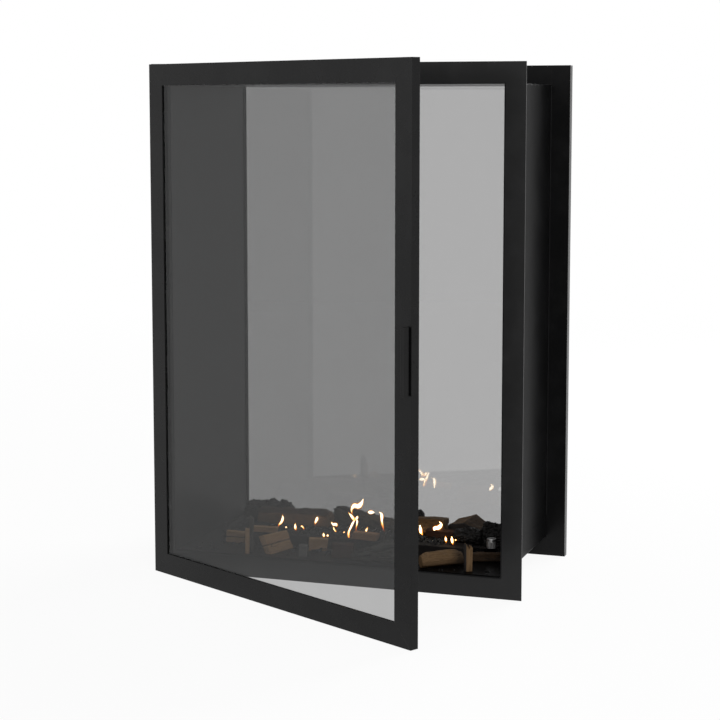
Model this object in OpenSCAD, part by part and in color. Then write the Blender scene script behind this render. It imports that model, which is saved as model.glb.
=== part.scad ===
// See-through built-in fireplace with a hinged glass door and a log set.
// X runs along the width, Y goes into the wall, Z is up.
// The origin is the centre of the four fixing holes, in the underside of the casing.

/* [Opening] */
// Clear width of the fire opening
opening_w = 652; // [620:1:760]
// Clear height of the fire opening
opening_h = 900; // [600:1:1100]
// Depth from the front flange's face to the rear flange's face
casing_d = 355; // [330:1:500]
// Visible width of each flange and pane frame
border = 40; // [36:1:60]
// Thickness of the folded casing sheet
sheet_t = 2; // [1.5:0.5:3]
// Height of the base pan's side upstands above the underside
pan_h = 43; // [30:1:60]
// How far the rear strips stop above the rear frame's lower edge
strip_gap = 9; // [4:1:12]

/* [Framed panes] */
// Depth of the hollow frame profile
frame_t = 17; // [16:1:22]
// Wall of the hollow frame profile
frame_wall = 1.5; // [1:0.5:2]
// Width of the lip that the glass lies behind
lip_w = 8; // [7:1:10]
// Thickness of the glass
glass_t = 4; // [3:1:5]
// Thickness of the gasket strip between lip and glass
gasket_t = 1; // [0.8:0.1:2]
// Thickness of the glazing bead angle
bead_t = 1.5; // [1:0.5:2]

/* [Door] */
// Angle at which the door stands ajar
door_angle = 29; // [0:1:90]
// How much narrower than the flange the door is on each side
door_side_gap = 5; // [4:0.5:8]
// How much shorter than the flange the door is at each end
door_end_gap = 1; // [1:0.5:4]
// Gap between the closed door and the front flange
door_gap = 3; // [2.8:0.1:4]
// Hinge pivot, inboard of the door's edge
pivot_in = 8; // [7.5:0.1:8.2]
// Hinge pivot, in front of the door's back face
pivot_back = 11; // [11:0.1:11.2]
// Height of each hinge above or below the door's ends
hinge_inset = 110; // [60:1:200]
// Radius of the hinge pin
pin_r = 2.5; // [2:0.1:2.8]
// Length of the handle bar
handle_l = 115; // [80:1:300]
// Width of the handle bar
handle_w = 10.5; // [9:0.5:14]
// How far the handle bar stands proud of the door
handle_h = 12.6; // [10:0.1:20]
// Height of the undercut behind the handle's head
handle_undercut = 3.4; // [2:0.1:5]
// How far the handle's middle lies below the door's middle
handle_drop = 5; // [0:1:60]

/* [Burner] */
// Length of the burner box as a share of the opening's width
burner_l_share = 0.721; // [0.68:0.001:0.75]
// Width of the burner box as a share of the casing's depth
burner_w_share = 0.4225; // [0.4:0.0005:0.43]
// Height of the burner box
burner_h = 20; // [18:1:26]
// Corner radius of the burner box
burner_r = 15; // [8:1:20]
// Sheet thickness of the burner
burner_t = 1.5; // [1:0.5:2]
// Solid margin beyond each end of a flame port
port_margin = 27; // [24:1:36]
// Width of one flame port
port_w = 6; // [4:0.5:6.5]
// Distance between neighbouring flame ports
port_pitch = 15; // [14.5:0.5:18]
// Solid margin beyond the first and the last flame port
port_end_margin = 32; // [30:1:60]
// Radius of the regulator knob
knob_r = 9.5; // [7:0.5:12]
// Height of the regulator knob
knob_h = 19; // [16:1:30]

/* [Fixing] */
// Distance of the fixing holes from the opening's sides
bolt_side = 31; // [20:0.5:60]
// Distance of the fixing holes from the front and the rear flange face
bolt_end = 27.5; // [20:0.5:60]
// Radius of each fixing hole
bolt_r = 4.5; // [3:0.5:6]

/* [Hidden] */

$fn = 48;

// Small distance that makes a cut run cleanly past a face
past = 1;
// Running gap between pieces that pass each other
seam = 0.5;
// Clearance kept between pieces of different bodies
free_gap = 0.3;
// Radial clearance of a pin in its hole
pin_fit = 0.04;

// Overall sizes that follow from the opening
flange_w = opening_w + 2 * border;
flange_h = opening_h + 2 * border;
casing_w = opening_w + 2 * sheet_t;
floor_z = sheet_t;
flange_z = floor_z - border;
ceiling_z = floor_z + opening_h;
face_y = -casing_d / 2;
rear_y = casing_d / 2;
bend_r = sheet_t / 2;
weld_relief = 0.4;
butt_gap = 1;

// Framed pane profile
tube_w = border - lip_w;
glass_y = frame_wall + gasket_t;
glass_edge = tube_w + 1;
bead_y = glass_y + glass_t;
bead_w = lip_w - 1;
bead_screw_r = 1.5;
bead_screw_l = 5;
bead_head_r = 2.6;
bead_head_h = 1.6;
bead_screw_y = (bead_y + bead_t + frame_t) / 2;

// Door
door_w = flange_w - 2 * door_side_gap;
door_h = flange_h - 2 * door_end_gap;
door_x = -door_w / 2;
door_y = face_y - door_gap - frame_t;
door_z = flange_z + door_end_gap;
pivot_x = door_x + pivot_in;
pivot_y = face_y - door_gap - pivot_back;
hinge_z = [door_z + hinge_inset, door_z + door_h - hinge_inset];
knuckle_r = pin_r + 1.5;
arm_w = 6;
arm_t = 4;
washer_t = 1;
lug_h = 13;
lug_reach = 14;
bracket_w = 24;
bracket_h = 40;
bracket_in = 9;
slot_low = arm_t / 2 + seam;
slot_high = arm_t / 2 + washer_t + free_gap;
handle_edge = 3;
handle_neck = 4.5;
latch_x = door_w - tube_w / 2;

// Burner, and its heights counted from the floor up
burner_l = opening_w * burner_l_share;
burner_w = casing_d * burner_w_share;
port_l = burner_w - 2 * port_margin;
port_count = 2 * floor((burner_l / 2 - port_end_margin) / port_pitch) + 1;
hearth_t = 2;
hearth_z = floor_z + hearth_t;
cover_z = hearth_z + burner_h;
bed_z = cover_z + burner_t;
slide_t = 1.2;
slide_z = cover_z - seam - slide_t;
slide_half_w = port_l / 2 + 16;
ledge_t = 1.2;
arm_y = -casing_d * 0.124;
arm_half = 7;
knob_x = opening_w * 0.42;

module in_door() {
    translate([pivot_x, pivot_y, 0])
    rotate([0, 0, -door_angle])
    translate([-pivot_x, -pivot_y, 0])
    translate([door_x, door_y, door_z])
    children();
}

module in_rear_frame() {
    translate([-flange_w / 2, rear_y + sheet_t + frame_t, flange_z])
    mirror([0, 1, 0])
    children();
}

// Cross-section of the frame profile: X from the outer edge, Y from the visible face
module frame_section() {
    difference() {
        square([tube_w, frame_t]);
        translate([frame_wall, frame_wall])
        square([tube_w - 2 * frame_wall, frame_t - 2 * frame_wall]);
    }
    translate([tube_w - frame_wall, 0])
    square([lip_w + frame_wall, frame_wall]);
}

// One mitred member of a frame, standing along Z with its outer edge at X = 0
module frame_member(length, screws) {
    difference() {
        intersection() {
            linear_extrude(length)
            frame_section();
            translate([0, frame_t + past, 0])
            rotate([90, 0, 0])
            linear_extrude(frame_t + 2 * past)
            polygon([[0, 0], [border, border], [border, length - border], [0, length]]);
        }
        bead_screw_row(length, screws)
        translate([tube_w - frame_wall - past, 0, 0])
        rotate([0, 90, 0])
        cylinder(r = bead_screw_r + pin_fit, h = frame_wall + 2 * past);
    }
}

// Places along a member at which a bead is screwed to it
module bead_screw_row(length, screws) {
    for (i = [0 : screws - 1])
    translate([0, bead_screw_y, border + (length - 2 * border) * (i + 0.5) / screws])
    children();
}

// Turns a standing member into one that lies along X, with its outer edge at Z = 0
module lie_down() {
    mirror([1, 0, -1])
    children();
}

stile_screws = 5;
rail_screws = 4;

module left_stile(w, h) {
    frame_member(h, stile_screws);
}

module right_stile(w, h) {
    translate([w, 0, 0])
    mirror([1, 0, 0])
    frame_member(h, stile_screws);
}

module bottom_rail(w, h) {
    lie_down()
    frame_member(w, rail_screws);
}

module top_rail(w, h) {
    translate([0, 0, h])
    mirror([0, 0, 1])
    lie_down()
    frame_member(w, rail_screws);
}

module pane_glass(w, h) {
    translate([glass_edge, glass_y, glass_edge])
    cube([w - 2 * glass_edge, glass_t, h - 2 * glass_edge]);
}

// Repeats a standing piece on both sides of a frame and a lying one at both ends
module around(w, h) {
    children(0);
    translate([w, 0, 0])
    mirror([1, 0, 0])
    children(0);
    children(1);
    translate([0, 0, h])
    mirror([0, 0, 1])
    children(1);
}

module pane_gasket(w, h) {
    inner = border - 0.5;
    around(w, h) {
        translate([glass_edge, frame_wall, glass_edge])
        cube([inner - glass_edge, gasket_t, h - 2 * glass_edge]);
        translate([inner, frame_wall, glass_edge])
        cube([w - 2 * inner, gasket_t, inner - glass_edge]);
    }
}

module bead_section() {
    translate([tube_w, bead_y])
    square([bead_w, bead_t]);
    translate([tube_w, bead_y])
    square([bead_t, frame_t - bead_y - 0.5]);
}

module bead(length, inset, screws) {
    difference() {
        translate([0, 0, inset])
        linear_extrude(length - 2 * inset)
        bead_section();
        bead_screw_row(length, screws)
        translate([tube_w - past, 0, 0])
        rotate([0, 90, 0])
        cylinder(r = bead_screw_r + pin_fit, h = bead_t + 2 * past);
    }
}

module pane_beads(w, h) {
    around(w, h) {
        bead(h, tube_w, stile_screws);
        lie_down()
        bead(w, tube_w + bead_w, rail_screws);
    }
}

// A pan-head screw whose head sits on Z = 0 and whose shank points down
module pan_screw(r, length, head_r, head_h) {
    translate([0, 0, -length])
    cylinder(r = r, h = length);
    cylinder(r = head_r, h = head_h);
}

module pane_bead_screws(w, h) {
    around(w, h) {
        bead_screw_row(h, stile_screws)
        translate([tube_w + bead_t, 0, 0])
        rotate([0, 90, 0])
        pan_screw(bead_screw_r, bead_screw_l, bead_head_r, bead_head_h);
        lie_down()
        bead_screw_row(w, rail_screws)
        translate([tube_w + bead_t, 0, 0])
        rotate([0, 90, 0])
        pan_screw(bead_screw_r, bead_screw_l, bead_head_r, bead_head_h);
    }
}

// Casing

// Outside of the casing as the flange's ring fits round it
module casing_outline() {
    corner_r = sheet_t + bend_r;
    translate([-casing_w / 2, corner_r])
    square([casing_w, ceiling_z + sheet_t - corner_r]);
    translate([-casing_w / 2 + corner_r, 0])
    square([casing_w - 2 * corner_r, corner_r]);
    for (side = [-1, 1])
    translate([side * (casing_w / 2 - corner_r), corner_r])
    circle(r = corner_r);
}

module front_flange() {
    color([0.13, 0.13, 0.13])
    translate([0, face_y + sheet_t, flange_z])
    rotate([90, 0, 0])
    linear_extrude(sheet_t)
    difference() {
        translate([-flange_w / 2, 0])
        square([flange_w, flange_h]);
        translate([0, -flange_z])
        casing_outline();
        for (z = hinge_z)
        translate([pivot_x - bracket_in, z - flange_z - bracket_h / 2])
        square([bracket_w, bracket_h]);
    }
}

// Sheet that runs back along Y and folds outwards at its rear end.
// X is the height above the inner face, Y is the depth.
module folded_edge(reach) {
    outer_r = sheet_t + bend_r;
    translate([0, face_y])
    square([sheet_t, casing_d + sheet_t - outer_r]);
    translate([outer_r, rear_y + sheet_t - outer_r])
    difference() {
        intersection() {
            circle(r = outer_r);
            translate([-outer_r, 0])
            square(outer_r);
        }
        circle(r = bend_r);
    }
    translate([outer_r, rear_y])
    square([reach - outer_r, sheet_t]);
}

module side_panel() {
    strip_start = sheet_t + butt_gap;
    difference() {
        translate([opening_w / 2, 0, flange_z + strip_gap])
        linear_extrude(flange_h - strip_gap)
        folded_edge(border);
        // The wall stops at the base pan below and at the top panel above
        translate([opening_w / 2 - past, face_y - past, flange_z - past])
        cube([strip_start + past, casing_d + 2 * sheet_t + 2 * past, pan_h + butt_gap - flange_z + past]);
        translate([opening_w / 2 - past, face_y - past, ceiling_z])
        cube([strip_start + past, casing_d + 2 * sheet_t + 2 * past, border + past]);
    }
}

module side_panel_right() {
    color([0.12, 0.12, 0.12])
    side_panel();
}

module side_panel_left() {
    color([0.12, 0.12, 0.12])
    mirror([1, 0, 0])
    side_panel();
}

strip_half = casing_w / 2;
rear_screw_x = [-0.307 * opening_w, 0, 0.307 * opening_w];
rear_screw_r = 2;
rear_screw_in = 17;
vent_l = opening_w * 0.736;
vent_w = 12;
vent_inset = 38;

module rear_screw_holes(z) {
    for (x = rear_screw_x)
    translate([x, rear_y - past, z])
    rotate([-90, 0, 0])
    cylinder(r = rear_screw_r + 0.2, h = sheet_t + 2 * past);
}

module top_panel() {
    color([0.12, 0.12, 0.12])
    difference() {
        union() {
            translate([-casing_w / 2, 0, ceiling_z])
            rotate([90, 0, 90])
            linear_extrude(casing_w)
            mirror([1, -1])
            folded_edge(border);
            translate([-strip_half, rear_y, ceiling_z + sheet_t + bend_r + seam])
            cube([2 * strip_half, sheet_t, border - sheet_t - bend_r - seam]);
        }
        rear_screw_holes(flange_z + flange_h - rear_screw_in);
        for (side = [-1, 1])
        translate([0, side * (casing_d / 2 - vent_inset), ceiling_z - past])
        vent_slot();
    }
}

module vent_slot() {
    for (side = [-1, 1])
    translate([side * (vent_l - vent_w) / 2, 0, 0])
    cylinder(r = vent_w / 2, h = sheet_t + 2 * past);
    translate([-(vent_l - vent_w) / 2, -vent_w / 2, 0])
    cube([vent_l - vent_w, vent_w, sheet_t + 2 * past]);
}

module base_pan() {
    corner_r = sheet_t + bend_r;
    color([0.12, 0.12, 0.12])
    difference() {
        union() {
            // Floor and upstands with rounded folds
            translate([0, rear_y - bend_r, 0])
            rotate([90, 0, 0])
            linear_extrude(casing_d - bend_r)
            pan_section(corner_r);
            // The upstands run on to the rear frame
            for (side = [0, 1])
            mirror([side, 0, 0])
            translate([opening_w / 2, 0, corner_r])
            cube([sheet_t, rear_y + sheet_t, pan_h - corner_r]);
            // Rear edge, folded down
            translate([-casing_w / 2 + corner_r, 0, floor_z])
            rotate([90, 0, 90])
            linear_extrude(casing_w - 2 * corner_r)
            mirror([0, 1])
            mirror([1, -1])
            folded_edge(border - strip_gap);
            translate([-strip_half, rear_y, flange_z + strip_gap])
            cube([2 * strip_half, sheet_t, border - strip_gap - sheet_t - bend_r - seam]);
        }
        rear_screw_holes(flange_z + rear_screw_in);
        fixing_holes(-past, sheet_t + 2 * past);
        // Relief for the weld over the flange's lower border; a plinth can so end behind the flange
        translate([-casing_w / 2 + corner_r, face_y - past, -past])
        cube([casing_w - 2 * corner_r, sheet_t + past, weld_relief + past]);
    }
}

module pan_section(corner_r) {
    difference() {
        union() {
            translate([-casing_w / 2 + corner_r, 0])
            square([casing_w - 2 * corner_r, pan_h]);
            translate([-casing_w / 2, corner_r])
            square([casing_w, pan_h - corner_r]);
            for (side = [-1, 1])
            translate([side * (casing_w / 2 - corner_r), corner_r])
            circle(r = corner_r);
        }
        translate([-opening_w / 2 + bend_r, sheet_t])
        square([opening_w - 2 * bend_r, pan_h]);
        translate([-opening_w / 2, corner_r])
        square([opening_w, pan_h]);
        for (side = [-1, 1])
        translate([side * (opening_w / 2 - bend_r), corner_r])
        circle(r = bend_r);
    }
}

bolt_dx = opening_w - 2 * bolt_side;
bolt_dy = casing_d - 2 * bolt_end;

module fixing_holes(z, h) {
    for (x = [-1, 1], y = [-1, 1])
    translate([x * bolt_dx / 2, y * bolt_dy / 2, z])
    cylinder(r = bolt_r, h = h);
}

module hearth_plate() {
    edge = 2;
    color([0.08, 0.08, 0.08])
    difference() {
        translate([-opening_w / 2 + edge, face_y + sheet_t, floor_z])
        cube([opening_w - 2 * edge, casing_d - 2 * sheet_t - 1, hearth_t]);
        fixing_holes(floor_z - past, hearth_t + 2 * past);
    }
}

// Hinges

module hinge_brackets() {
    color([0.25, 0.25, 0.26])
    for (z = hinge_z)
    translate([pivot_x, pivot_y, z]) {
        flange_front = face_y - pivot_y;
        difference() {
            union() {
                translate([0, 0, -arm_t / 2])
                cylinder(r = knuckle_r, h = arm_t);
                translate([-arm_w / 2, 0, -arm_t / 2])
                cube([arm_w, flange_front + past, arm_t]);
            }
            translate([0, 0, -arm_t / 2 - past])
            cylinder(r = pin_r + pin_fit, h = arm_t + 2 * past);
        }
        translate([-bracket_in, flange_front, -bracket_h / 2])
        cube([bracket_w, sheet_t, bracket_h]);
    }
}

module hinge_washers() {
    color([0.72, 0.55, 0.28])
    for (z = hinge_z)
    translate([pivot_x, pivot_y, z + arm_t / 2])
    difference() {
        cylinder(r = knuckle_r, h = washer_t);
        translate([0, 0, -past])
        cylinder(r = pin_r + pin_fit, h = washer_t + 2 * past);
    }
}

module hinge_blocks() {
    color([0.3, 0.3, 0.31])
    in_door()
    for (z = hinge_z)
    translate([0, 0, z - door_z])
    difference() {
        translate([frame_wall, frame_wall, -slot_low - lug_h])
        cube([pivot_in + lug_reach, frame_t - 2 * frame_wall, slot_low + slot_high + 2 * lug_h]);
        translate([frame_wall - past, 0, -slot_low])
        cube([pivot_in - frame_wall + knuckle_r + 1 + past, frame_t, slot_low + slot_high]);
        translate([pivot_in, frame_t - pivot_back, -slot_low - lug_h - past])
        cylinder(r = pin_r + pin_fit, h = slot_low + slot_high + 2 * lug_h + 2 * past);
    }
}

module hinge_pins() {
    color([0.6, 0.6, 0.62])
    in_door()
    for (z = hinge_z)
    translate([pivot_in, frame_t - pivot_back, z - door_z - slot_low - lug_h + 1])
    cylinder(r = pin_r, h = slot_low + slot_high + 2 * lug_h - 2);
}

// Door

module door_stile_hinge() {
    color([0.16, 0.16, 0.16])
    in_door()
    difference() {
        left_stile(door_w, door_h);
        // Slots that the bracket arms turn in
        for (z = hinge_z)
        translate([-past, frame_wall, z - door_z - slot_low])
        cube([pivot_in + arm_w / 2 + seam + past, frame_t, slot_low + slot_high]);
    }
}

handle_z = door_h / 2 - handle_drop;
handle_x = door_w - handle_edge - handle_w / 2;
handle_screw_r = 2;
handle_screw_in = 22;
handle_screw_z = [handle_z - handle_l / 2 + handle_screw_in, handle_z + handle_l / 2 - handle_screw_in];
handle_bore = 9;
access_r = 4.2;
magnet_r = 6;
magnet_l = 4;
magnet_proud = 1;
magnet_end = 150;
magnet_z = [magnet_end, door_h / 2, door_h - magnet_end];

module door_stile_latch() {
    color([0.16, 0.16, 0.16])
    in_door()
    difference() {
        right_stile(door_w, door_h);
        for (z = handle_screw_z) {
            translate([handle_x, frame_wall + past, z])
            rotate([90, 0, 0])
            cylinder(r = handle_screw_r + pin_fit, h = frame_wall + 2 * past);
            translate([handle_x, frame_t - frame_wall - past, z])
            rotate([-90, 0, 0])
            cylinder(r = access_r, h = frame_wall + 2 * past);
        }
        for (z = magnet_z)
        translate([latch_x, frame_t - frame_wall - past, z])
        rotate([-90, 0, 0])
        cylinder(r = magnet_r + pin_fit, h = frame_wall + 2 * past);
    }
}

module door_rail_top() {
    color([0.16, 0.16, 0.16])
    in_door()
    top_rail(door_w, door_h);
}

module door_rail_bottom() {
    color([0.16, 0.16, 0.16])
    in_door()
    bottom_rail(door_w, door_h);
}

module door_glass() {
    color([0.35, 0.37, 0.38, 0.45])
    in_door()
    pane_glass(door_w, door_h);
}

module door_gasket() {
    color([0.1, 0.1, 0.1])
    in_door()
    pane_gasket(door_w, door_h);
}

module door_glazing_beads() {
    color([0.14, 0.14, 0.14])
    in_door()
    pane_beads(door_w, door_h);
}

module door_bead_screws() {
    color([0.2, 0.2, 0.2])
    in_door()
    pane_bead_screws(door_w, door_h);
}

module door_magnets() {
    color([0.7, 0.7, 0.72])
    in_door()
    for (z = magnet_z)
    translate([latch_x, frame_t + magnet_proud - magnet_l, z])
    rotate([-90, 0, 0])
    cylinder(r = magnet_r, h = magnet_l);
}

module handle_bar() {
    head_h = handle_h - handle_undercut;
    neck_end = 3;
    color([0.1, 0.1, 0.1])
    in_door()
    difference() {
        union() {
            translate([handle_x - handle_w / 2, -handle_h, handle_z - handle_l / 2])
            cube([handle_w, head_h, handle_l]);
            translate([handle_x - handle_neck / 2, -handle_undercut - past, handle_z - handle_l / 2 + neck_end])
            cube([handle_neck, handle_undercut + past, handle_l - 2 * neck_end]);
        }
        for (z = handle_screw_z)
        translate([handle_x, past, z])
        rotate([90, 0, 0])
        cylinder(r = handle_screw_r + pin_fit, h = handle_bore + past);
    }
}

module handle_screws() {
    color([0.6, 0.6, 0.62])
    in_door()
    for (z = handle_screw_z)
    translate([handle_x, frame_wall, z])
    rotate([-90, 0, 0])
    pan_screw(handle_screw_r, 8, 3.5, 2.4);
}

// Rear framed pane

module rear_stile_left() {
    color([0.15, 0.15, 0.15])
    in_rear_frame()
    left_stile(flange_w, flange_h);
}

module rear_stile_right() {
    color([0.15, 0.15, 0.15])
    in_rear_frame()
    right_stile(flange_w, flange_h);
}

module rear_tube_holes() {
    for (x = rear_screw_x)
    translate([x, rear_y + sheet_t - past, 0])
    rotate([-90, 0, 0])
    cylinder(r = rear_screw_r + pin_fit, h = frame_wall + 2 * past);
}

module rear_rail_top() {
    color([0.15, 0.15, 0.15])
    difference() {
        in_rear_frame()
        top_rail(flange_w, flange_h);
        translate([0, 0, flange_z + flange_h - rear_screw_in])
        rear_tube_holes();
    }
}

module rear_rail_bottom() {
    color([0.15, 0.15, 0.15])
    difference() {
        in_rear_frame()
        bottom_rail(flange_w, flange_h);
        translate([0, 0, flange_z + rear_screw_in])
        rear_tube_holes();
    }
}

module rear_glass() {
    color([0.35, 0.37, 0.38, 0.45])
    in_rear_frame()
    pane_glass(flange_w, flange_h);
}

module rear_gasket() {
    color([0.1, 0.1, 0.1])
    in_rear_frame()
    pane_gasket(flange_w, flange_h);
}

module rear_glazing_beads() {
    color([0.14, 0.14, 0.14])
    in_rear_frame()
    pane_beads(flange_w, flange_h);
}

module rear_bead_screws() {
    color([0.2, 0.2, 0.2])
    in_rear_frame()
    pane_bead_screws(flange_w, flange_h);
}

module rear_frame_screws() {
    color([0.2, 0.2, 0.2])
    for (x = rear_screw_x, z = [flange_z + rear_screw_in, flange_z + flange_h - rear_screw_in])
    translate([x, rear_y, z])
    rotate([90, 0, 0])
    pan_screw(rear_screw_r, 7, 3.8, 2.4);
}

// Burner

module rounded_plate(l, w, r) {
    square([l, w - 2 * r], center = true);
    square([l - 2 * r, w], center = true);
    for (x = [-1, 1], y = [-1, 1])
    translate([x * (l / 2 - r), y * (w / 2 - r)])
    circle(r = r);
}

inner_l = burner_l - 2 * burner_t;
inner_w = burner_w - 2 * burner_t;
inner_r = burner_r - burner_t;
ledge_lap = 3;
ledge_w = inner_w / 2 + burner_t / 2 - slide_half_w + ledge_lap;
cover_screw_x = burner_l * 0.32;
cover_screw_y = (slide_half_w + inner_w / 2) / 2;
cover_screw_r = 2;

module cover_screw_places(z) {
    for (x = [-1, 1], y = [-1, 1])
    translate([x * cover_screw_x, y * cover_screw_y, z])
    children();
}

module burner_box() {
    color([0.62, 0.63, 0.64])
    difference() {
        union() {
            translate([0, 0, hearth_z])
            linear_extrude(burner_h)
            difference() {
                rounded_plate(burner_l, burner_w, burner_r);
                rounded_plate(inner_l, inner_w, inner_r);
            }
            translate([0, 0, hearth_z])
            linear_extrude(burner_t)
            rounded_plate(burner_l - burner_t, burner_w - burner_t, burner_r);
            // Ledges that carry the slide
            for (side = [-1, 1])
            translate([0, side * (slide_half_w - ledge_lap + ledge_w / 2), slide_z - free_gap - ledge_t / 2])
            cube([inner_l - 2 * burner_r, ledge_w, ledge_t], center = true);
        }
        cover_screw_places(slide_z - free_gap - ledge_t - past)
        cylinder(r = cover_screw_r + pin_fit, h = ledge_t + 2 * past);
        // Window for the slide's arm
        translate([burner_l / 2 - burner_t - past, arm_y - arm_half - free_gap, slide_z - free_gap])
        cube([burner_t + 2 * past, 2 * arm_half + 2 * free_gap, slide_t + 2 * free_gap]);
    }
}

module ceramic_absorbent() {
    color([0.9, 0.89, 0.85])
    translate([0, 0, hearth_z + burner_t])
    linear_extrude(slide_z - free_gap - ledge_t - hearth_z - burner_t - seam)
    rounded_plate(inner_l - 2, inner_w - 2, inner_r);
}

module port_row() {
    for (i = [0 : port_count - 1])
    translate([(i - (port_count - 1) / 2) * port_pitch, 0]) {
        square([port_w, port_l - port_w], center = true);
        for (end = [-1, 1])
        translate([0, end * (port_l - port_w) / 2])
        circle(r = port_w / 2, $fn = 24);
    }
}

module regulator_slide() {
    half_l = (port_count * port_pitch) / 2 + 6;
    arm_l = knob_x + knob_r - half_l;
    color([0.6, 0.61, 0.62])
    translate([0, 0, slide_z])
    linear_extrude(slide_t)
    difference() {
        union() {
            square([2 * half_l, 2 * slide_half_w], center = true);
            translate([half_l - past, arm_y - arm_half])
            square([arm_l + past - knob_r, 2 * arm_half]);
            translate([knob_x, arm_y])
            circle(r = arm_half);
        }
        port_row();
    }
}

// Turned knob with a groove, on the end of the slide's arm
module regulator_knob() {
    groove = 0.8;
    groove_z = knob_h - 5;
    chamfer = 0.8;
    color([0.75, 0.75, 0.76])
    translate([knob_x, arm_y, slide_z + slide_t])
    rotate_extrude($fn = 64)
    polygon([
        [0, 0], [knob_r - chamfer, 0], [knob_r, chamfer], [knob_r, groove_z - groove],
        [knob_r - groove, groove_z], [knob_r, groove_z + groove], [knob_r, knob_h - chamfer],
        [knob_r - chamfer, knob_h], [0, knob_h]
    ]);
}

module burner_cover() {
    color([0.28, 0.28, 0.29])
    difference() {
        translate([0, 0, cover_z])
        linear_extrude(burner_t)
        difference() {
            rounded_plate(burner_l, burner_w, burner_r);
            port_row();
        }
        cover_screw_places(cover_z - past)
        cylinder(r = cover_screw_r + pin_fit, h = burner_t + 2 * past);
    }
}

module burner_screws() {
    color([0.5, 0.5, 0.52])
    cover_screw_places(bed_z)
    pan_screw(cover_screw_r, 4.9, 3.6, 1.4);
}

// Log set

// Repeatable number from -1 to 1 for a ring and a point of one log
function jitter(seed, i, j) =
    let (s = sin(seed * 97.31 + i * 151.7 + j * 217.9) * 437.585)
    2 * (s - floor(s)) - 1;

// Outline of a round log that lies on a flat: points of [across, up]
function round_outline(r, up, sides) = [
    for (i = [0 : sides - 1])
    let (a = 360 * i / sides)
    [r * cos(a), max(0, up * (0.46 + 0.54 * sin(a)))]
];

// One ring of a log at a share t of its length
function log_ring(outline, x, seed, i, rough, size) = [
    for (j = [0 : len(outline) - 1])
    let (
        p = outline[j],
        swell = size * (1 + rough * jitter(seed, i, j))
    )
    [x, p[0] * swell, p[1] == 0 ? 0 : max(0.5, p[1] * swell)]
];

// Log along X whose underside is flat at Z = 0, built ring by ring from an outline.
// The taper is how much larger than the middle its last ring is.
module ring_log(outline, length, seed, rough = 0.08, rings = 9, end_size = 0.86, taper = 0) {
    n = len(outline);
    points = [
        for (i = [0 : rings])
        let (
            t = i / rings,
            at_end = i == 0 || i == rings,
            size = (at_end ? end_size : 1) * (1 + taper * (2 * t - 1)),
            x = (t - 0.5) * length
        )
        each log_ring(outline, x, seed, i, at_end ? rough / 2 : rough, size)
    ];
    sides = [
        for (i = [0 : rings - 1], j = [0 : n - 1])
        let (
            a = i * n + j,
            b = i * n + (j + 1) % n,
            c = a + n,
            d = b + n
        )
        each [[a, b, d], [a, d, c]]
    ];
    first_end = [for (j = [n - 1 : -1 : 0]) j];
    last_end = [for (j = [0 : n - 1]) rings * n + j];
    polyhedron(points = points, faces = concat(sides, [first_end], [last_end]), convexity = 4);
}

// The log set is drawn on a grid of 652 by 355 units that spans the opening and the casing's depth
grid_x = opening_w / 652;
grid_y = casing_d / 355;

// Puts a log with its middle at a place of the grid, on the height z, turned by an angle
module lay(x, y, z, turn = 0) {
    translate([0, 0, z])
    scale([grid_x, grid_y, grid_x])
    translate([x, y, 0])
    rotate([0, 0, turn])
    children();
}

// Sawn or split block with slightly skewed faces, standing on Z = 0
module block(l, w, h, skew = 1.5, top = 0.94) {
    rotate([90, 0, 0])
    translate([0, 0, -w / 2])
    linear_extrude(w)
    polygon([[-l / 2, 0], [l / 2 - skew, 0], [l / 2, h * top], [-l / 2 + skew, h]]);
}

module log_charred_left() {
    color([0.09, 0.085, 0.08])
    lay(-239, 103, hearth_z, 4)
    ring_log(round_outline(23, 43, 12), 100, 3, 0.11, 9, 0.6);
}

module log_brown_rear() {
    color([0.36, 0.25, 0.15])
    lay(-155, 26, bed_z, -2)
    ring_log([[-17, 0], [17, 0], [19, 12], [13, 28], [-6, 30], [-18, 22]], 146, 11, 0.05, 9, 0.9, 0.08);
}

module log_bark_middle() {
    color([0.2, 0.15, 0.11])
    lay(-5, 45, bed_z, -14)
    ring_log(round_outline(15, 27, 12), 136, 5, 0.1, 10, 0.85, -0.28);
}

module log_charred_middle() {
    color([0.08, 0.08, 0.08])
    lay(65, 99, hearth_z, -6)
    ring_log(round_outline(18, 49, 12), 62, 8, 0.1, 6, 0.72);
}

module log_boxy_right() {
    color([0.42, 0.3, 0.18])
    lay(129, 38, bed_z, 3)
    ring_log([[-20, 0], [20, 0], [21, 27], [-19, 31]], 60, 21, 0.03, 5, 0.97);
}

module log_ridge_right() {
    color([0.4, 0.29, 0.17])
    lay(208, 35, bed_z, -24)
    ring_log([[-21, 0], [21, 0], [21, 35], [-20, 24]], 78, 14, 0.03, 2, 0.8);
}

module log_charred_right() {
    color([0.07, 0.07, 0.07])
    lay(277, -9, hearth_z, 0)
    ring_log(round_outline(18, 58, 12), 62, 17, 0.09, 7, 0.8);
}

module log_charred_small() {
    color([0.07, 0.07, 0.07])
    lay(221, -27, bed_z, 0)
    ring_log(round_outline(13, 27, 10), 46, 41, 0.1, 5, 0.78);
}

module log_red_middle() {
    color([0.38, 0.2, 0.12])
    lay(163, 0, bed_z, -8)
    ring_log([[-8, 0], [8, 0], [9, 9], [3, 17], [-8, 14]], 68, 31, 0.05, 7, 0.9);
}

module log_pale_front() {
    color([0.68, 0.53, 0.36])
    lay(199, -130.5, hearth_z, 38)
    ring_log(round_outline(14, 29, 10), 84, 23, 0.05, 7, 0.8);
}

module log_brown_right() {
    color([0.34, 0.22, 0.13])
    lay(277, -67, hearth_z, 15)
    ring_log([[-8, 0], [8, 0], [8, 12], [2, 17], [-8, 15]], 66, 27, 0.04, 7, 0.92);
}

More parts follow.
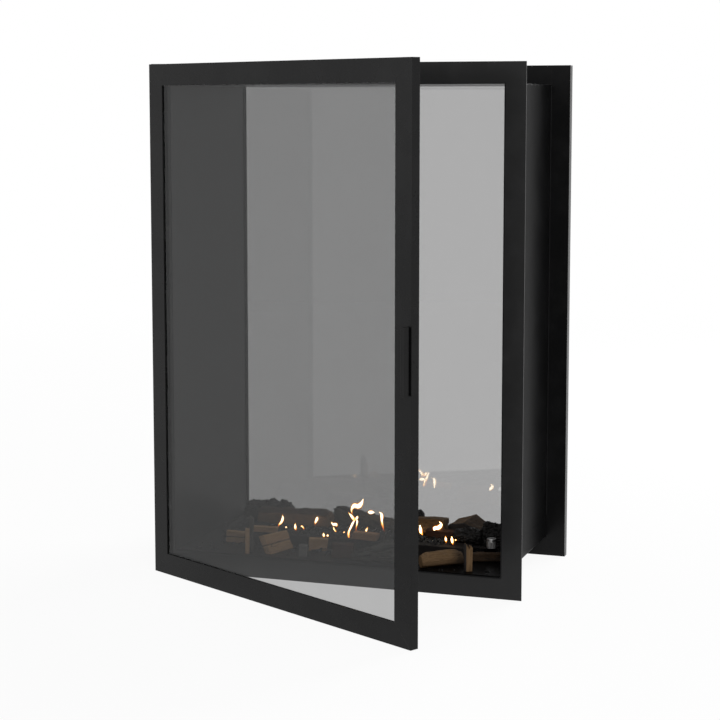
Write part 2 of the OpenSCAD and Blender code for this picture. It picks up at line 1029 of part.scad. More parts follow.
module log_grey_front() {
    color([0.2, 0.2, 0.18])
    lay(82, -137.5, hearth_z, 3)
    ring_log(round_outline(15, 34, 12), 106, 33, 0.1, 9, 0.82, 0.26);
}

module log_dark_left() {
    color([0.12, 0.11, 0.1])
    lay(-268, -8, hearth_z, 82)
    ring_log(round_outline(15, 27, 12), 92, 37, 0.12, 8, 0.7);
}

module block_upright_left() {
    color([0.7, 0.55, 0.38])
    lay(-182, -160.5, hearth_z, 20)
    block(9, 12, 50, 0.8);
}

module block_upright_dark() {
    color([0.16, 0.17, 0.18])
    lay(-181, -143.5, hearth_z, 15)
    block(10, 11, 66, 1.5, 0.9);
}

module block_upright_right() {
    depth = 13;
    color([0.72, 0.57, 0.38])
    lay(258, -153.5, hearth_z, 32)
    rotate([90, 0, 0])
    translate([0, 0, -depth / 2])
    linear_extrude(depth)
    polygon([[-7, 0], [7, 0], [7.5, 44], [4, 49], [0, 43], [-4, 54], [-7.5, 48]]);
}

module block_leaning_left() {
    color([0.72, 0.56, 0.38])
    lay(-130, -119.5, hearth_z, 72)
    intersection() {
        rotate([-14, 0, 0])
        translate([0, 0, -3])
        block(76, 16, 37, 6);
        translate([-60, -60, 0])
        cube(120);
    }
}

module block_flat_left() {
    color([0.66, 0.52, 0.36])
    lay(-239, -83, hearth_z, 3)
    block(40, 11, 23, 2);
}

module block_flat_middle() {
    color([0.66, 0.52, 0.36])
    lay(-187, -66, bed_z, 6)
    block(60, 12, 11, 2);
}

module block_short_middle() {
    color([0.7, 0.54, 0.36])
    lay(-61, -94, hearth_z, 18)
    block(38, 15, 25, 2);
}

module block_red_front() {
    color([0.42, 0.24, 0.17])
    lay(3, -132.5, hearth_z, 18)
    block(44, 17, 28, 3);
}

module block_brown_middle() {
    color([0.5, 0.33, 0.2])
    lay(26, -63, bed_z, -3)
    block(54, 18, 10, 3);
}

module block_grey_middle() {
    color([0.48, 0.46, 0.42])
    lay(-70, -153.5, hearth_z, 14)
    block(17, 14, 24, 1);
}

front_flange();
side_panel_left();
side_panel_right();
top_panel();
base_pan();
hearth_plate();
hinge_brackets();
hinge_washers();
burner_box();
ceramic_absorbent();
regulator_slide();
regulator_knob();
burner_cover();
burner_screws();
rear_stile_left();
rear_stile_right();
rear_rail_top();
rear_rail_bottom();
rear_glass();
rear_gasket();
rear_glazing_beads();
rear_bead_screws();
rear_frame_screws();
door_stile_hinge();
door_stile_latch();
door_rail_top();
door_rail_bottom();
door_glass();
door_gasket();
door_glazing_beads();
door_bead_screws();
hinge_blocks();
hinge_pins();
door_magnets();
handle_bar();
handle_screws();
log_charred_left();
log_brown_rear();
log_bark_middle();
log_charred_middle();
log_boxy_right();
log_ridge_right();
log_charred_right();
log_charred_small();
log_red_middle();
log_pale_front();
log_brown_right();
log_grey_front();
log_dark_left();
block_upright_left();
block_upright_dark();
block_upright_right();
block_leaning_left();
block_flat_left();
block_flat_middle();
block_short_middle();
block_red_front();
block_brown_middle();
block_grey_middle();
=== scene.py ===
"""Looks of a see-through built-in fireplace: paint, glass, burner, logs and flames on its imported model."""

import logging
import math
from collections.abc import Callable, Iterator
from contextlib import contextmanager
from dataclasses import dataclass, field
from enum import Enum

import bmesh
import bpy
import numpy as np
from bpy.types import Material, Mesh, Object
from mathutils import Euler, Matrix, Vector, noise


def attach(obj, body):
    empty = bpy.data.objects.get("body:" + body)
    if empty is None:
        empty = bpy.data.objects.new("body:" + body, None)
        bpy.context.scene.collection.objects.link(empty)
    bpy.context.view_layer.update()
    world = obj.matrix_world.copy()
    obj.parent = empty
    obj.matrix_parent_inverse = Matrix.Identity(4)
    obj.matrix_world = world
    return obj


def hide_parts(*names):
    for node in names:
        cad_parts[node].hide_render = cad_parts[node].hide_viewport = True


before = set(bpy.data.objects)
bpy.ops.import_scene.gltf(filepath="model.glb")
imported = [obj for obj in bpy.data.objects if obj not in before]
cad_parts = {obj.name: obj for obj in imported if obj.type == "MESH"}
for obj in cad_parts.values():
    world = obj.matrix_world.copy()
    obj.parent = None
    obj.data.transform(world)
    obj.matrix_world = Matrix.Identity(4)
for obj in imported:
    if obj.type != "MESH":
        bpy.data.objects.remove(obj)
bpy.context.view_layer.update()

LOG = logging.getLogger("fireplace")
MM = 0.001
TOUCHING = 0.001 * MM
# Heights in millimetres of the upper faces that the logs lie on: hearth plate and burner cover
HEARTH = 4.0
BED = 25.5
Rgb = tuple[float, float, float]
Point = tuple[float, float, float]
Seat = tuple[Point, Point]


# Node trees

def arithmetic(kind: str, swapped: bool = False) -> "Callable[..., Wire]":
    """Makes a method of Wire that adds one Math node.

    Args:
        kind: the node's operation.
        swapped: whether the other value comes first.

    Returns:
        The method.
    """

    def apply(self: "Wire", other: "Wire | float" = 0.0) -> "Wire":
        """Adds the node and gives its output."""
        return self.tree.math(kind, *((other, self) if swapped else (self, other)))

    return apply


class Wire:
    """A node socket that takes part in arithmetic."""

    __add__ = arithmetic("ADD")
    __radd__ = arithmetic("ADD", swapped=True)
    __sub__ = arithmetic("SUBTRACT")
    __rsub__ = arithmetic("SUBTRACT", swapped=True)
    __mul__ = arithmetic("MULTIPLY")
    __rmul__ = arithmetic("MULTIPLY", swapped=True)
    __truediv__ = arithmetic("DIVIDE")
    __pow__ = arithmetic("POWER")
    __gt__ = arithmetic("GREATER_THAN")
    highest = arithmetic("MAXIMUM")
    lowest = arithmetic("MINIMUM")
    sine = arithmetic("SINE")
    size = arithmetic("ABSOLUTE")

    def __init__(self, tree: "NodeSet", socket: bpy.types.NodeSocket) -> None:
        """Keeps the socket and the tree that it belongs to."""
        self.tree = tree
        self.socket = socket

    def out(self, name: str | int) -> "Wire":
        """Another output of the same node."""
        return Wire(self.tree, self.socket.node.outputs[name])

    def step(self, low: float, high: float) -> "Wire":
        """Smooth step from 0 at low to 1 at high."""
        values = {"Value": self, "From Min": low, "From Max": high}
        return self.tree.node("ShaderNodeMapRange", values, interpolation_type="SMOOTHSTEP")


class NodeSet:
    """A node tree in which one method makes any node."""

    def __init__(self, tree: bpy.types.NodeTree) -> None:
        """Empties the tree and keeps it."""
        self.tree = tree
        tree.nodes.clear()

    def node(self, kind: str, values: dict | None = None, output: str | int = 0, **settings: object) -> Wire:
        """Makes one node.

        Args:
            kind: the node's type.
            values: for each socket, by name or place, a number, vector, colour or wire, a list of wires,
                or None where it stays as it is.
            output: the output that is returned.
            settings: the node's properties, set first; "stops" sets a ramp's colours.

        Returns:
            The wire of that output, or of the first input where there is no output.
        """
        made = self.tree.nodes.new(kind)
        for key, value in settings.items():
            if key == "stops":
                self._set_stops(made.color_ramp, value)
            else:
                setattr(made, key, value)
        for key, value in (values or {}).items():
            socket = made.inputs[key]
            for one in value if isinstance(value, list) else [value]:
                if isinstance(one, Wire):
                    self.tree.links.new(one.socket, socket)
                elif one is not None:
                    socket.default_value = (*one, 1.0) if socket.type == "RGBA" else one
        return Wire(self, made.outputs[output] if len(made.outputs) else made.inputs[0])

    @staticmethod
    def _set_stops(ramp: bpy.types.ColorRamp, stops: tuple) -> None:
        """Gives a ramp its stops of (place, colour)."""
        while len(ramp.elements) < len(stops):
            ramp.elements.new(1.0)
        for element, (place, colour) in zip(ramp.elements, stops):
            element.position = place
            element.color = (*colour, 1.0)

    def math(self, kind: str, *values: "Wire | float") -> Wire:
        """Math node on up to three values."""
        return self.node("ShaderNodeMath", dict(enumerate(values)), operation=kind)

    def vector(self, kind: str, *values: "Wire | Point", output: int = 0) -> Wire:
        """Vector Math node."""
        return self.node("ShaderNodeVectorMath", dict(enumerate(values)), output, operation=kind)

    def xyz(self, vector: Wire) -> tuple[Wire, Wire, Wire]:
        """The three numbers of a vector."""
        split = self.node("ShaderNodeSeparateXYZ", {0: vector})
        return split, split.out(1), split.out(2)


class ShaderSet(NodeSet):
    """The node tree of one material."""

    def __init__(self, name: str) -> None:
        """Makes an empty material of that name."""
        self.material = bpy.data.materials.new(name)
        self.material.use_nodes = True
        super().__init__(self.material.node_tree)

    def place(self) -> Wire:
        """Object coordinates in metres."""
        return self.node("ShaderNodeTexCoord", output="Object")

    def attribute(self, name: str, output: str = "Fac") -> Wire:
        """A value stored on the mesh."""
        return self.node("ShaderNodeAttribute", output=output, attribute_name=name)

    def cloud(self, vector: Wire, scale: float, detail: float = 3.0, rough: float = 0.55) -> Wire:
        """Smooth noise from 0 to 1."""
        values = {"Vector": vector, "Scale": scale, "Detail": detail, "Roughness": rough}
        return self.node("ShaderNodeTexNoise", values)

    def drawn_cloud(self, vector: Wire, stretch: Point, *noise_values: float) -> Wire:
        """Noise along a vector whose axes are each scaled by their own number first."""
        return self.cloud(self.vector("MULTIPLY", vector, stretch), *noise_values)

    def blend(self, first: "Wire | Rgb", second: "Wire | Rgb", share: "Wire | float") -> Wire:
        """Colour between two colours."""
        return self.node("ShaderNodeMix", {0: share, 6: first, 7: second}, 2, data_type="RGBA")

    def relief(self, height: Wire, depth: float, normal: Wire | None = None, strength: float = 1.0) -> Wire:
        """Bump of a height from 0 to 1 over a depth in metres."""
        values = {"Strength": strength, "Distance": depth, "Height": height, "Normal": normal}
        return self.node("ShaderNodeBump", values)

    def soft_edge(self, radius: float) -> Wire:
        """Normal that rounds sharp edges by a radius."""
        return self.node("ShaderNodeBevel", {"Radius": radius}, samples=4)

    def principled(
        self,
        tone: "Wire | Rgb",
        rough: "Wire | float",
        shine: float,
        normal: Wire | None = None,
        more: dict | None = None,
    ) -> Wire:
        """Principled shader.

        Args:
            tone: its colour.
            rough: its roughness.
            shine: its specular level.
            normal: the normal, where there is relief.
            more: the values of its other sockets.

        Returns:
            The shader's wire.
        """
        values = {"Base Color": tone, "Roughness": rough, "Specular IOR Level": shine, "Normal": normal}
        return self.node("ShaderNodeBsdfPrincipled", {**values, **(more or {})})

    def mixed(self, share: Wire, first: Wire, second: Wire) -> Wire:
        """Shader between two shaders."""
        return self.node("ShaderNodeMixShader", {0: share, 1: first, 2: second})

    def close(self, shader: Wire) -> Material:
        """Ends the tree in a shader and gives the material."""
        self.node("ShaderNodeOutputMaterial", {"Surface": shader})
        return self.material


class ShapeSet(NodeSet):
    """A Geometry Nodes tree with named inputs for its sizes."""

    def __init__(self, name: str) -> None:
        """Makes an empty tree with one geometry output."""
        super().__init__(bpy.data.node_groups.new(name, "GeometryNodeTree"))
        self.tree.interface.new_socket("Geometry", in_out="OUTPUT", socket_type="NodeSocketGeometry")
        self.entry = self.tree.nodes.new("NodeGroupInput")
        self.identifiers: dict[str, str] = {}

    def given(self, name: str, kind: str = "Float") -> Wire:
        """A named input of the tree, of a kind such as Float, Int, Vector, Geometry or Material."""
        socket = self.tree.interface.new_socket(name, in_out="INPUT", socket_type=f"NodeSocket{kind}")
        self.identifiers[name] = socket.identifier
        return Wire(self, self.entry.outputs[name])

    def combined(self, x: "Wire | float", y: "Wire | float", z: "Wire | float") -> Wire:
        """Vector of three numbers."""
        return self.node("ShaderNodeCombineXYZ", {0: x, 1: y, 2: z})

    def moved(self, geometry: Wire, shift: Wire) -> Wire:
        """Geometry moved by a vector."""
        return self.node("GeometryNodeTransform", {"Geometry": geometry, "Translation": shift})

    def close(self, geometry: Wire) -> None:
        """Ends the tree in Realize Instances and Set Material."""
        real = self.node("GeometryNodeRealizeInstances", {0: geometry})
        values = {"Geometry": real, "Material": self.given("Material", "Material")}
        self.node("NodeGroupOutput", {0: self.node("GeometryNodeSetMaterial", values)})

    def run(self, name: str, values: dict, base: Mesh | None = None) -> Object:
        """Runs the tree and keeps its result as a plain mesh.

        Args:
            name: the new piece's name.
            values: a value for each named input.
            base: the mesh that the tree starts from, where it needs one.

        Returns:
            The new object, with no modifier left.
        """
        piece = new_object(name, base or bpy.data.meshes.new(name))
        modifier = piece.modifiers.new("shape", "NODES")
        modifier.node_group = self.tree
        for key, value in values.items():
            modifier[self.identifiers[key]] = value
        piece.data = evaluated_mesh(piece)
        piece.modifiers.clear()
        return piece


# Meshes

def new_object(name: str, data: bpy.types.ID) -> Object:
    """Links a new object of that mesh, camera or lamp into the scene."""
    piece = bpy.data.objects.new(name, data)
    bpy.context.scene.collection.objects.link(piece)
    return piece


def evaluated_mesh(piece: Object) -> Mesh:
    """Plain mesh of an object with its modifiers applied."""
    graph = bpy.context.evaluated_depsgraph_get()
    evaluated = piece.evaluated_get(graph)
    return bpy.data.meshes.new_from_object(evaluated, preserve_all_data_layers=True, depsgraph=graph)


@contextmanager
def edited(mesh: Mesh) -> Iterator[bmesh.types.BMesh]:
    """Opens a mesh with its doubles merged, and keeps what is changed in it."""
    shape = bmesh.new()
    shape.from_mesh(mesh)
    bmesh.ops.remove_doubles(shape, verts=shape.verts, dist=TOUCHING)
    yield shape
    shape.to_mesh(mesh)
    shape.free()


def mesh_of(name: str, points: list | np.ndarray, faces: list) -> Mesh:
    """Mesh of points and faces with its normals outwards."""
    mesh = bpy.data.meshes.new(name)
    mesh.from_pydata([tuple(map(float, p)) for p in points], [], faces)
    with edited(mesh) as shape:
        bmesh.ops.recalc_face_normals(shape, faces=shape.faces)
    return mesh


def merged_copy(node: str) -> Mesh:
    """Copy of a CAD node's mesh with its loose triangles joined."""
    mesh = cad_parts[node].data.copy()
    with edited(mesh):
        LOG.debug("%s merged", node)
    return mesh


def rounded_copy(node: str, radius: float, steps: int = 3, least: float = 35.0, flat: float = 1.0) -> Object:
    """Copy of a CAD node with its sharp edges rounded.

    Args:
        node: the CAD node.
        radius: width of the rounding in metres.
        steps: its number of steps.
        least: the least angle of an edge that is rounded, in degrees.
        flat: the angle up to which faces are joined first, in degrees.

    Returns:
        The new object, shaded flat.
    """
    mesh = merged_copy(node)
    with edited(mesh) as shape:
        limit = math.radians(flat)
        bmesh.ops.dissolve_limit(shape, angle_limit=limit, verts=shape.verts, edges=shape.edges)
        inner = [e for e in shape.edges if len(e.link_faces) == 2]
        sharp = [e for e in inner if e.calc_face_angle() > math.radians(least)]
        bmesh.ops.bevel(
            shape, geom=sharp, offset=radius, segments=steps, profile=0.5, affect="EDGES", clamp_overlap=True
        )
        bmesh.ops.triangulate(shape, faces=[f for f in shape.faces if len(f.verts) > 4])
        for face in shape.faces:
            face.smooth = False
    return new_object(f"{node}_rounded", mesh)


def read_array(
    items: bpy.types.bpy_prop_collection, key: str, width: int, kind: type = np.float32
) -> np.ndarray:
    """One value of each point or edge of a mesh, as rows of an array."""
    values = np.zeros(len(items) * width, kind)
    items.foreach_get(key, values)
    return values.reshape(-1, width)


def store(mesh: Mesh, name: str, values: np.ndarray) -> None:
    """Stores a number or a vector for each point of a mesh."""
    kind, key = ("FLOAT", "value") if values.ndim == 1 else ("FLOAT_VECTOR", "vector")
    attribute = mesh.attributes.new(name, kind, "POINT")
    attribute.data.foreach_set(key, values.astype(np.float32).ravel())


# Finishes

class Surface(Enum):
    """How a log's surface is broken up."""

    CHARRED = "charred"
    BARK = "bark"
    SPLIT = "split"
    SAWN = "sawn"
    BOARDS = "boards"


# Where the casing's outer sides and its rear strips begin, in metres from the middle
OUTER_SIDE = (326.8 * MM, 327.2 * MM)
REAR_STRIP = (176.5 * MM, 177.2 * MM)
HEAT_TINTS = (
    (0.0, (0.75, 0.74, 0.72)),
    (0.45, (0.62, 0.45, 0.24)),
    (0.7, (0.32, 0.2, 0.3)),
    (1.0, (0.2, 0.25, 0.36)),
)
CHIP_TONES = (
    (0.0, (0.004, 0.004, 0.004)),
    (0.62, (0.009, 0.009, 0.009)),
    (0.85, (0.022, 0.023, 0.025)),
    (1.0, (0.06, 0.063, 0.068)),
)
CORE_TONES = (
    (0.0, (0.12, 0.013, 0.0008)),
    (0.28, (0.22, 0.045, 0.004)),
    (0.5, (0.55, 0.24, 0.035)),
    (0.72, (1.0, 0.72, 0.32)),
    (1.0, (1.0, 0.9, 0.7)),
)
SKIRT_TONES = ((0.0, (0.6, 0.05, 0.01)), (0.4, (1.0, 0.2, 0.02)), (1.0, (1.0, 0.36, 0.05)))
# Colours laid over a finish
DUST = (0.11, 0.105, 0.1)
SOOT = (0.012, 0.011, 0.0105)
BURNT = (0.011, 0.01, 0.0095)
# char colour, which is also laid as painted shade on the front side of one log
CHAR_AND_SHADE = (0.014, 0.0155, 0.0185)
ASH = (0.3, 0.295, 0.29)
# painted shade in cracks, bark furrows and gaps between boards
CRACK_SHADE = (0.006, 0.0055, 0.005)


@dataclass(frozen=True)
class StovePaint:
    """Black stove paint on folded sheet: fine orange peel, slow waves in the sheet and rubbed edges."""

    colour: Rgb
    roughness: float
    shine: float
    peel: float = 1.3 * MM
    edge: float = 0.7 * MM
    dust: float = 0.1
    # shine of the casing's outer sides, far below the rest of the paint: painted shade
    side_shade_shine: float | None = None

    def make(self, name: str) -> Material:
        """Builds the material, with a much lower shine on the casing's outer sides where one is given, which
        paints them darker as painted shade.
        """
        g = ShaderSet(name)
        at = g.place()
        speck = g.cloud(at, 240.0, 5.0, 0.7).step(0.55, 0.8)
        handled = g.cloud(at, 16.0, 6.0, 0.62).step(0.38, 0.72)
        tone = g.blend(self.colour, tuple(c * 1.5 for c in self.colour), handled)
        tone = g.blend(tone, DUST, speck * self.dust * handled)
        rough = self.roughness + (handled - 0.5) * 0.05 + speck * 0.06
        rounded = g.soft_edge(self.edge) if self.edge else None
        waves = g.relief(g.cloud(at, 9.0, 2.0), 0.2 * MM, rounded, 0.5)
        normal = g.relief(g.cloud(at, 1 / self.peel, 2.0), 0.02 * MM, waves)
        paint = g.principled(tone, rough, self.shine, normal)
        if self.side_shade_shine is not None:
            across, deep, _ = g.xyz(at)
            # painted shade: the outer sides, short of the rear strips, get the lower shine and render darker
            outer = across.size().step(*OUTER_SIDE) * (1.0 - deep.step(*REAR_STRIP))
            paint = g.mixed(outer, paint, g.principled(tone, rough, self.side_shade_shine, normal))
        return g.close(paint)


@dataclass(frozen=True)
class PaneGlass:
    """Heat-proof glass with a grey tint, faint wiping marks and a little soot near its lower edge."""

    colour: Rgb
    opacity: float
    shine: float
    ior: float = 1.5
    foot: float = 2 * MM
    soot: float = 120 * MM

    def make(self, name: str) -> Material:
        """Builds the material."""
        g = ShaderSet(name)
        at = g.place()
        wiped = g.drawn_cloud(at, (7.0, 7.0, 1.6), 3.0, 5.0, 0.6).step(0.42, 0.78)
        mist = g.cloud(at, 900.0, 2.0).step(0.62, 0.8)
        low = 1.0 - g.xyz(at)[2].step(self.foot, self.foot + self.soot)
        film = wiped * 0.003 + mist * 0.003 + low * wiped * 0.005
        more = {"IOR": self.ior, "Alpha": self.opacity + film}
        return g.close(g.principled(self.colour, 0.012 + wiped * 0.012, self.shine, more=more))


@dataclass(frozen=True)
class BrushedSteel:
    """Brushed steel with drawn lines along X and straw to blue heat tints."""

    colour: Rgb
    roughness: float
    heat: float
    soot: float = 0.0
    even: float = 0.0
    shine: float = 0.5

    def make(self, name: str) -> Material:
        """Builds the material."""
        g = ShaderSet(name)
        at = g.place()
        lines = g.drawn_cloud(at, (25.0, 2600.0, 2600.0), 1.0, 3.0)
        spread = g.cloud(at, 14.0, 3.0)
        tint = g.node("ShaderNodeValToRGB", {0: spread}, stops=HEAT_TINTS)
        tone = g.blend(self.colour, tint, spread.step(0.35, 0.8) * self.heat)
        patchy = g.cloud(at, 30.0, 6.0, 0.65).step(0.3, 0.62)
        sooty = (patchy * (1.0 - self.even) + self.even) * self.soot
        tone = g.blend(tone, SOOT, sooty)
        rough = self.roughness + lines * 0.12 + sooty * 0.35
        normal = g.relief(lines, 0.015 * MM, g.soft_edge(0.3 * MM))
        return g.close(g.principled(tone, rough, self.shine, normal, {"Metallic": 1.0 - sooty}))


@dataclass(frozen=True)
class Fibre:
    """Matted mineral or glass fibre: crossing threads and a soft uneven face."""

    light: Rgb
    dark: Rgb
    thread: float

    def make(self, name: str) -> Material:
        """Builds the material."""
        g = ShaderSet(name)
        at = g.place()
        along = g.drawn_cloud(at, (0.12, 1.0, 1.0), 1 / self.thread, 3.0)
        across = g.drawn_cloud(at, (1.0, 0.12, 0.12), 1 / self.thread, 3.0)
        mat = along.highest(across)
        tone = g.blend(self.dark, self.light, mat.step(0.4, 0.75))
        return g.close(g.principled(tone, 0.86 + mat * 0.1, 0.2, g.relief(mat, 0.3 * MM)))


@dataclass(frozen=True)
class Wood:
    """Wood of the log set: fibres and rings along the stored grain, scorched patches, ash, and cracks
    darkened as painted shade.
    """

    light: Rgb
    dark: Rgb
    ring: float
    scorch: float
    ash: float
    surface: Surface = Surface.SPLIT
    roughness: float = 0.78

    def make(self, name: str) -> Material:
        """Builds the material."""
        g = ShaderSet(name)
        grain, crack, char = g.attribute("grain", "Vector"), g.attribute("crack"), g.attribute("char")
        fibre = g.drawn_cloud(grain, (45.0, 1100.0, 1100.0), 1.0, 4.0, 0.6)
        patch = g.drawn_cloud(grain, (28.0, 55.0, 55.0), 1.0, 4.0, 0.6)
        fine = g.cloud(grain, 1400.0, 3.0, 0.65)
        _, across, up = g.xyz(grain)
        spread = (across * across + up * up) ** 0.5 + patch * 0.004
        rings = (spread * (2 * math.pi / self.ring)).sine() * 0.5 + 0.5
        light = (fibre * 1.5 - 0.35 + rings * 0.22 + (patch - 0.5) * 0.5).step(0.0, 1.0)
        tone = g.blend(self.dark, self.light, light)
        reach = 0.3 * self.scorch
        burnt = (patch + crack * 0.25).step(0.62 - reach, 0.78 - reach) * min(1.0, self.scorch * 1.4)
        tone = g.blend(tone, BURNT, burnt)
        # the stored darkening is char on some logs and painted shade on the ridge log's front side
        tone = g.blend(tone, CHAR_AND_SHADE, (char + (patch - 0.5) * 0.5 * char).step(0.1, 0.8) * 0.93)
        dusty = (fine * 0.5 + g.cloud(grain, 130.0, 5.0, 0.7) * 0.8).step(0.62, 0.86)
        facing_up = g.xyz(g.node("ShaderNodeNewGeometry", output="Normal"))[2]
        tone = g.blend(tone, ASH, dusty * facing_up.step(-0.1, 0.8) * self.ash)
        # painted shade: cracks, furrows and board gaps are darkened
        tone = g.blend(tone, CRACK_SHADE, crack.step(0.25, 1.0) * 0.85)
        normal = g.relief(fibre * 0.6 + fine * 0.3 + rings * 0.1, 0.5 * MM)
        return g.close(g.principled(tone, self.roughness + fine * 0.15 - burnt * 0.16, 0.15, normal))


@dataclass(frozen=True)
class Chips:
    """Charcoal crumbs and ash flakes, from black to pale grey."""

    chip: float = 6.25 * MM

    def make(self, name: str) -> Material:
        """Builds the material."""
        g = ShaderSet(name)
        at = g.place()
        values = {"Vector": at, "Scale": 1 / self.chip}
        pick = g.xyz(g.node("ShaderNodeTexVoronoi", values, "Color", feature="F1"))[0]
        tone = g.node("ShaderNodeValToRGB", {0: pick}, stops=CHIP_TONES)
        normal = g.relief(g.cloud(at, 1500.0, 4.0), 0.3 * MM)
        return g.close(g.principled(tone, 0.6 + pick * 0.35, 0.3, normal))


@dataclass(frozen=True)
class FlameGlow:
    """Light of a flame: orange where it is thin, pale yellow where it is full."""

    strength: float
    opacity: float
    tones: tuple

    def make(self, name: str) -> Material:
        """Builds the material."""
        g = ShaderSet(name)
        rise, heat = g.attribute("rise"), g.attribute("warmth")
        lick = g.drawn_cloud(g.place(), (1.0, 1.0, 0.35), 160.0, 2.0)
        fade = rise.step(-0.02, 0.1) * (1.0 - rise.step(0.9, 1.02))
        more = {
            "Emission Color": g.node("ShaderNodeValToRGB", {0: heat + (lick - 0.5) * 0.2}, stops=self.tones),
            "Emission Strength": self.strength,
            "Alpha": fade * self.opacity,
        }
        return g.close(g.principled((0.0, 0.0, 0.0), 1.0, 0.0, more=more))


class Finish(Enum):
    """The finishes of the fireplace."""

    # the low outside shine paints shade on the casing's outer sides
    casing_paint = StovePaint((0.006, 0.006, 0.0062), 0.3, 0.125, side_shade_shine=0.014)
    flange_paint = StovePaint((0.006, 0.006, 0.0062), 0.3, 0.3)
    frame_paint = StovePaint((0.005, 0.005, 0.0052), 0.28, 0.145)
    bead_paint = StovePaint((0.005, 0.005, 0.0052), 0.28, 0.145, edge=0.0)
    handle_paint = StovePaint((0.004, 0.004, 0.0041), 0.3, 0.15, peel=0.8 * MM)
    hearth_paint = StovePaint((0.0015, 0.0015, 0.0016), 0.3, 0.03, dust=0.03)
    hinge_steel = StovePaint((0.012, 0.012, 0.012), 0.4, 0.3, peel=0.7 * MM)
    black_screws = StovePaint((0.016, 0.016, 0.016), 0.38, 0.5, peel=0.5 * MM)
    washer_bronze = BrushedSteel((0.55, 0.38, 0.18), 0.35, 0.2)
    stainless_steel = BrushedSteel((0.5, 0.5, 0.5), 0.26, 0.35, 0.12)
    sooted_steel = BrushedSteel((0.03, 0.029, 0.028), 0.5, 0.2, 0.98, 0.85, 0.1)
    plated_steel = BrushedSteel((0.62, 0.62, 0.64), 0.3, 0.05)
    sooted_screws = BrushedSteel((0.12, 0.12, 0.12), 0.5, 0.2, 0.9, 0.6, 0.2)
    ceramic_fibre = Fibre((0.78, 0.76, 0.71), (0.5, 0.48, 0.44), 0.5 * MM)
    gasket_fibre = Fibre((0.05, 0.05, 0.05), (0.012, 0.012, 0.012), 0.4 * MM)
    rear_glass = PaneGlass((0.012, 0.013, 0.013), 0.408, 1.0, 2.07)
    door_glass = PaneGlass((0.012, 0.013, 0.013), 0.339, 0.91)
    charred_wood = Wood(
        (0.014, 0.0125, 0.0115), (0.004, 0.0038, 0.0036), 2.4 * MM, 0.9, 0.12, Surface.CHARRED, 0.62
    )
    brown_wood = Wood((0.2, 0.118, 0.058), (0.06, 0.036, 0.018), 2.2 * MM, 0.3, 0.1)
    oak_wood = Wood((0.115, 0.07, 0.036), (0.036, 0.022, 0.012), 2.2 * MM, 0.3, 0.08)
    honey_wood = Wood((0.36, 0.2, 0.1), (0.15, 0.08, 0.04), 2.2 * MM, 0.2, 0.06)
    # brown wood at about a third of its brightness: a shaded copy, painted shade for the low log at the front
    # right
    shaded_brown_wood = Wood((0.06, 0.036, 0.019), (0.018, 0.011, 0.007), 2.2 * MM, 0.4, 0.08)
    bark_wood = Wood((0.055, 0.044, 0.03), (0.012, 0.01, 0.008), 3.0 * MM, 0.35, 0.2, Surface.BARK)
    grey_bark = Wood((0.085, 0.082, 0.068), (0.016, 0.015, 0.013), 3.0 * MM, 0.2, 0.12, Surface.BARK)
    red_wood = Wood((0.062, 0.027, 0.015), (0.02, 0.009, 0.006), 2.0 * MM, 0.3, 0.1)
    pale_wood = Wood((0.44, 0.28, 0.145), (0.25, 0.145, 0.07), 2.6 * MM, 0.12, 0.05, Surface.SAWN)
    tan_wood = Wood((0.215, 0.136, 0.072), (0.11, 0.066, 0.032), 2.6 * MM, 0.15, 0.05)
    ash_wood = Wood((0.17, 0.167, 0.16), (0.07, 0.068, 0.066), 2.6 * MM, 0.2, 0.3, Surface.SAWN)
    chips = Chips()
    flame_core = FlameGlow(9.0, 0.92, CORE_TONES)
    flame_skirt = FlameGlow(1.2, 0.34, SKIRT_TONES)

    @property
    def material(self) -> Material:
        """The finish's material, built at its first use."""
        name = f"{self.name}_finish"
        return bpy.data.materials.get(name) or self.value.make(name)

    @property
    def slot(self) -> str:
        """The record's slot that the finish belongs to."""
        return OTHER_SLOTS.get(self.name, self.name)


# Slots of the finishes that share one
OTHER_SLOTS = {
    "flange_paint": "casing_paint",
    "bead_paint": "frame_paint",
    "sooted_steel": "stainless_steel",
    "sooted_screws": "plated_steel",
    "rear_glass": "pane_glass",
    "door_glass": "pane_glass",
    "oak_wood": "brown_wood",
    "honey_wood": "brown_wood",
    "shaded_brown_wood": "brown_wood",
    "grey_bark": "bark_wood",
    "tan_wood": "pale_wood",
    "chips": "charred_wood",
    "flame_core": "pane_glass",
    "flame_skirt": "pane_glass",
}


def wear_finish(piece: Object, material: Material) -> None:
    """Gives every material slot of a piece one material."""
    if not piece.data.materials:
        piece.data.materials.append(material)
    for slot in piece.material_slots:
        slot.material = material


def dress(finish: Finish, *nodes: str) -> None:
    """Gives carried-over CAD nodes their finish."""
    for node in nodes:
        wear_finish(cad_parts[node], finish.material)
        LOG.info("%s dressed as %s", node, finish.name)


def fit_piece(piece: Object, finish: Finish, body: str, *nodes: str) -> None:
    """Dresses a new piece and ties it to the frame.

    Args:
        piece: the finished object.
        finish: its finish.
        body: the CAD body that it rides on.
        nodes: the CAD nodes that it stands for.
    """
    wear_finish(piece, finish.material)
    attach(piece, body)
    if nodes:
        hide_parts(*nodes)
    LOG.info("%s on %s, %d faces", piece.name, body, len(piece.data.polygons))


# Screws

HEAD_SIDES = 20
SHANK_SIDES = 14
RIM_SHARE = 0.6
DOME_TOP = 0.68
RECESS_LONG, RECESS_WIDE, RECESS_DEEP = 0.95, 0.22, 0.9
MOST_SPIN = 1.5


